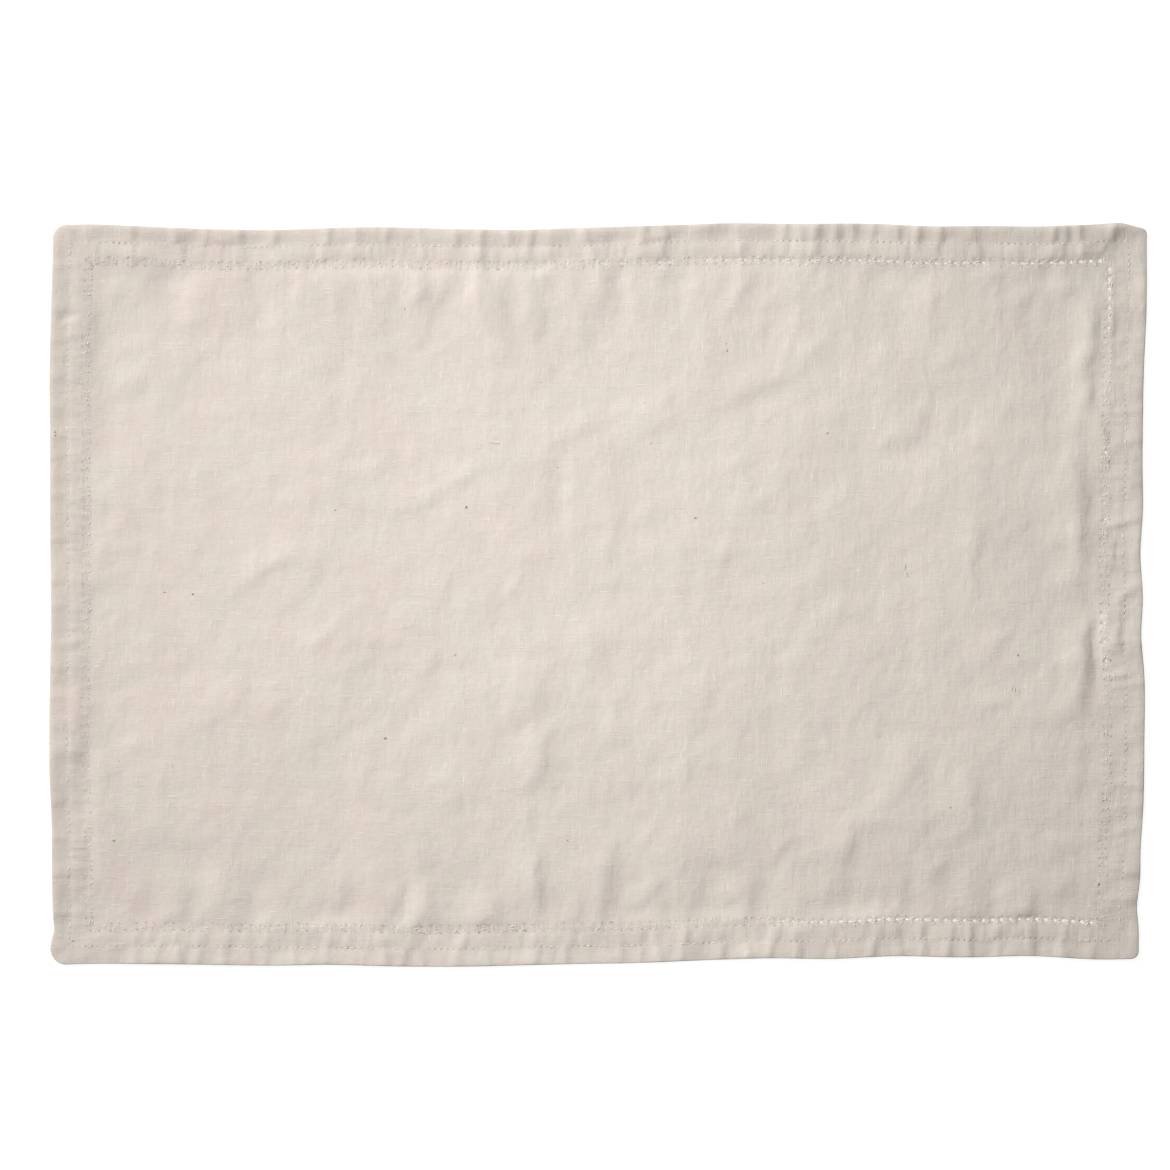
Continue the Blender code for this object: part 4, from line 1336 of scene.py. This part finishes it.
class PLACEMAT_OT_lockstitch(bpy.types.Operator):
    """Sew the lockstitch that holds the hem"""

    bl_idname = "placemat.lockstitch"
    bl_label = "Lockstitch"

    def execute(self, context):
        cloth = context.scene.placemat_cloth
        places, directions = side_runs(STITCH_DEPTH, cloth.stitch_pitch)
        inward = np.column_stack([directions[:, 1], -directions[:, 0]])
        places = places + inward * stray(places[:, 0], places[:, 1])
        count = len(places)
        random = np.random.default_rng(5)
        lengths = cloth.stitch_pitch * random.uniform(0.55, 0.80, count)
        radius = cloth.thread_width / 2 * random.uniform(0.85, 1.1, count)
        crown = radius * random.uniform(0.2, 0.9, count)
        sewn = strands(places, directions, lengths, radius, crown, 0.22 * MM)
        mesh = join_strands("hem_lockstitch", [sewn])
        thread = twisted_thread("pale_linen_thread", context.scene.placemat_finish.thread)
        show("hem_lockstitch", mesh, thread)
        return {"FINISHED"}


class PLACEMAT_OT_hemstitch(bpy.types.Operator):
    """Wrap the bars between the hemstitch holes and sew the slanted stitches beside them"""

    bl_idname = "placemat.hemstitch"
    bl_label = "Hemstitch"

    def execute(self, context):
        cloth = context.scene.placemat_cloth
        random = np.random.default_rng(8)
        parts = [thread_row(cloth, random, row) for row in THREAD_ROWS]
        parts.extend(hole_fibres(cloth, random))
        mesh = join_strands("hemstitch_thread", parts)
        thread = twisted_thread("pale_linen_thread", context.scene.placemat_finish.thread)
        show("hemstitch_thread", mesh, thread)
        return {"FINISHED"}


class PLACEMAT_OT_slubs(bpy.types.Operator):
    """Lay the thick places of the yarns"""

    bl_idname = "placemat.slubs"
    bl_label = "Slubs"

    def execute(self, context):
        mesh = fibre_mesh("yarn_slubs", SLUBS, sink=0.17 * MM)
        finish = context.scene.placemat_finish
        show("yarn_slubs", mesh, twisted_thread("thick_linen_yarn", finish.slub))
        return {"FINISHED"}


class PLACEMAT_OT_flecks(bpy.types.Operator):
    """Lay the dark flax fibres"""

    bl_idname = "placemat.flecks"
    bl_label = "Flecks"

    def execute(self, context):
        mesh = fibre_mesh("flax_flecks", FLECKS, sink=0.07 * MM)
        finish = context.scene.placemat_finish
        show("flax_flecks", mesh, twisted_thread("dark_flax_fibre", finish.fleck))
        return {"FINISHED"}


class PLACEMAT_OT_cloth(bpy.types.Operator):
    """Make the hemmed linen sheet, which stands for the part's own solid"""

    bl_idname = "placemat.cloth"
    bl_label = "Linen sheet"

    def execute(self, context):
        mesh = sheet_mesh("linen_sheet", context.scene.placemat_cloth)
        piece = show("linen_sheet", mesh, washed_linen(context.scene.placemat_finish))
        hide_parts(NODE)
        2 * HALF_WIDTH
        2 * HALF_LENGTH
        return {"FINISHED"}


# The lights, measured from the middle of the mat: a key at the upper left and a faint
# one overhead.
KEY_PLACE, KEY_SIZE = (-2.92, 2.50, 1.71), 1.6
TOP_PLACE, TOP_SIZE = (-0.031, 0.063, 0.50), 0.4
TABLE_HALF = 30.0
# The photograph's middle lies a little left of the mat's and above it.
VIEW_MIDDLE = (-5.9 * MM, 4.4 * MM)


class PLACEMAT_OT_stage(bpy.types.Operator):
    """Set the table, the lights and the camera"""

    bl_idname = "placemat.stage"
    bl_label = "Table, lights and camera"

    def execute(self, context):
        stage = context.scene.placemat_stage
        table_top(stage)
        area_light("key_light", stage.key_power, KEY_PLACE, KEY_SIZE)
        area_light("top_light", stage.top_power, TOP_PLACE, TOP_SIZE)
        world = bpy.data.worlds.new("room")
        world.use_nodes = True
        world.node_tree.nodes["Background"].inputs[0].default_value = (1.0, 1.0, 1.0, 1.0)
        world.node_tree.nodes["Background"].inputs[1].default_value = stage.room
        context.scene.world = world
        context.scene.view_settings.view_transform = "Standard"
        overhead_camera(context.scene, stage)
        return {"FINISHED"}


def table_top(stage):
    """A wide flat board whose upper face is where the mat rests."""
    corners = [(x * TABLE_HALF, y * TABLE_HALF, 0) for x, y in ((-1, -1), (1, -1), (1, 1), (-1, 1))]
    mesh = bpy.data.meshes.new("table")
    mesh.from_pydata(corners, [], [(0, 1, 2, 3)])
    mesh.materials.append(pale_table(stage))
    table = bpy.data.objects.new("table", mesh)
    bpy.context.scene.collection.objects.link(table)


def area_light(name, power, place, size):
    """A square soft light that faces the middle of the mat."""
    lamp = bpy.data.lights.new(name, "AREA")
    lamp.energy = power
    lamp.size = size
    light = bpy.data.objects.new(name, lamp)
    light.location = place
    light.rotation_euler = (-Vector(place)).to_track_quat("-Z", "Y").to_euler()
    light.visible_camera = False
    bpy.context.scene.collection.objects.link(light)


def overhead_camera(scene, stage):
    """A long lens straight above, framed as the photograph is."""
    lens = bpy.data.cameras.new("overhead")
    lens.sensor_width = 36.0
    lens.lens = lens.sensor_width * stage.camera_height / stage.view_width
    camera = bpy.data.objects.new("overhead", lens)
    camera.location = (VIEW_MIDDLE[0], VIEW_MIDDLE[1], stage.camera_height)
    scene.collection.objects.link(camera)
    scene.camera = camera


class PLACEMAT_PT_panel(bpy.types.Panel):
    """Lists the mat's pieces and their settings"""

    bl_idname = "PLACEMAT_PT_panel"
    bl_label = "Linen Placemat"
    bl_space_type = "VIEW_3D"
    bl_region_type = "UI"
    bl_category = "Placemat"

    def draw(self, context):
        for group in (context.scene.placemat_cloth, context.scene.placemat_finish,
                      context.scene.placemat_stage):
            box = self.layout.box()
            for name in group.__annotations__:
                box.prop(group, name)
        for operator in OPERATORS:
            self.layout.operator(operator.bl_idname)


OPERATORS = (
    PLACEMAT_OT_stage,
    PLACEMAT_OT_lockstitch,
    PLACEMAT_OT_hemstitch,
    PLACEMAT_OT_slubs,
    PLACEMAT_OT_flecks,
    PLACEMAT_OT_cloth,
)
SETTINGS = {
    "placemat_cloth": PLACEMAT_PG_cloth,
    "placemat_finish": PLACEMAT_PG_finish,
    "placemat_stage": PLACEMAT_PG_stage,
}


def register():
    for group in SETTINGS.values():
        bpy.utils.register_class(group)
    for name, group in SETTINGS.items():
        setattr(bpy.types.Scene, name, bpy.props.PointerProperty(type=group))
    for operator in OPERATORS:
        bpy.utils.register_class(operator)
    bpy.utils.register_class(PLACEMAT_PT_panel)


def unregister():
    bpy.utils.unregister_class(PLACEMAT_PT_panel)
    for operator in reversed(OPERATORS):
        bpy.utils.unregister_class(operator)
    for name, group in SETTINGS.items():
        delattr(bpy.types.Scene, name)
        bpy.utils.unregister_class(group)


def main():
    register()
    bpy.ops.placemat.stage()
    bpy.ops.placemat.lockstitch()
    bpy.ops.placemat.hemstitch()
    bpy.ops.placemat.slubs()
    bpy.ops.placemat.flecks()
    bpy.ops.placemat.cloth()


if __name__ == "__main__":
    main()
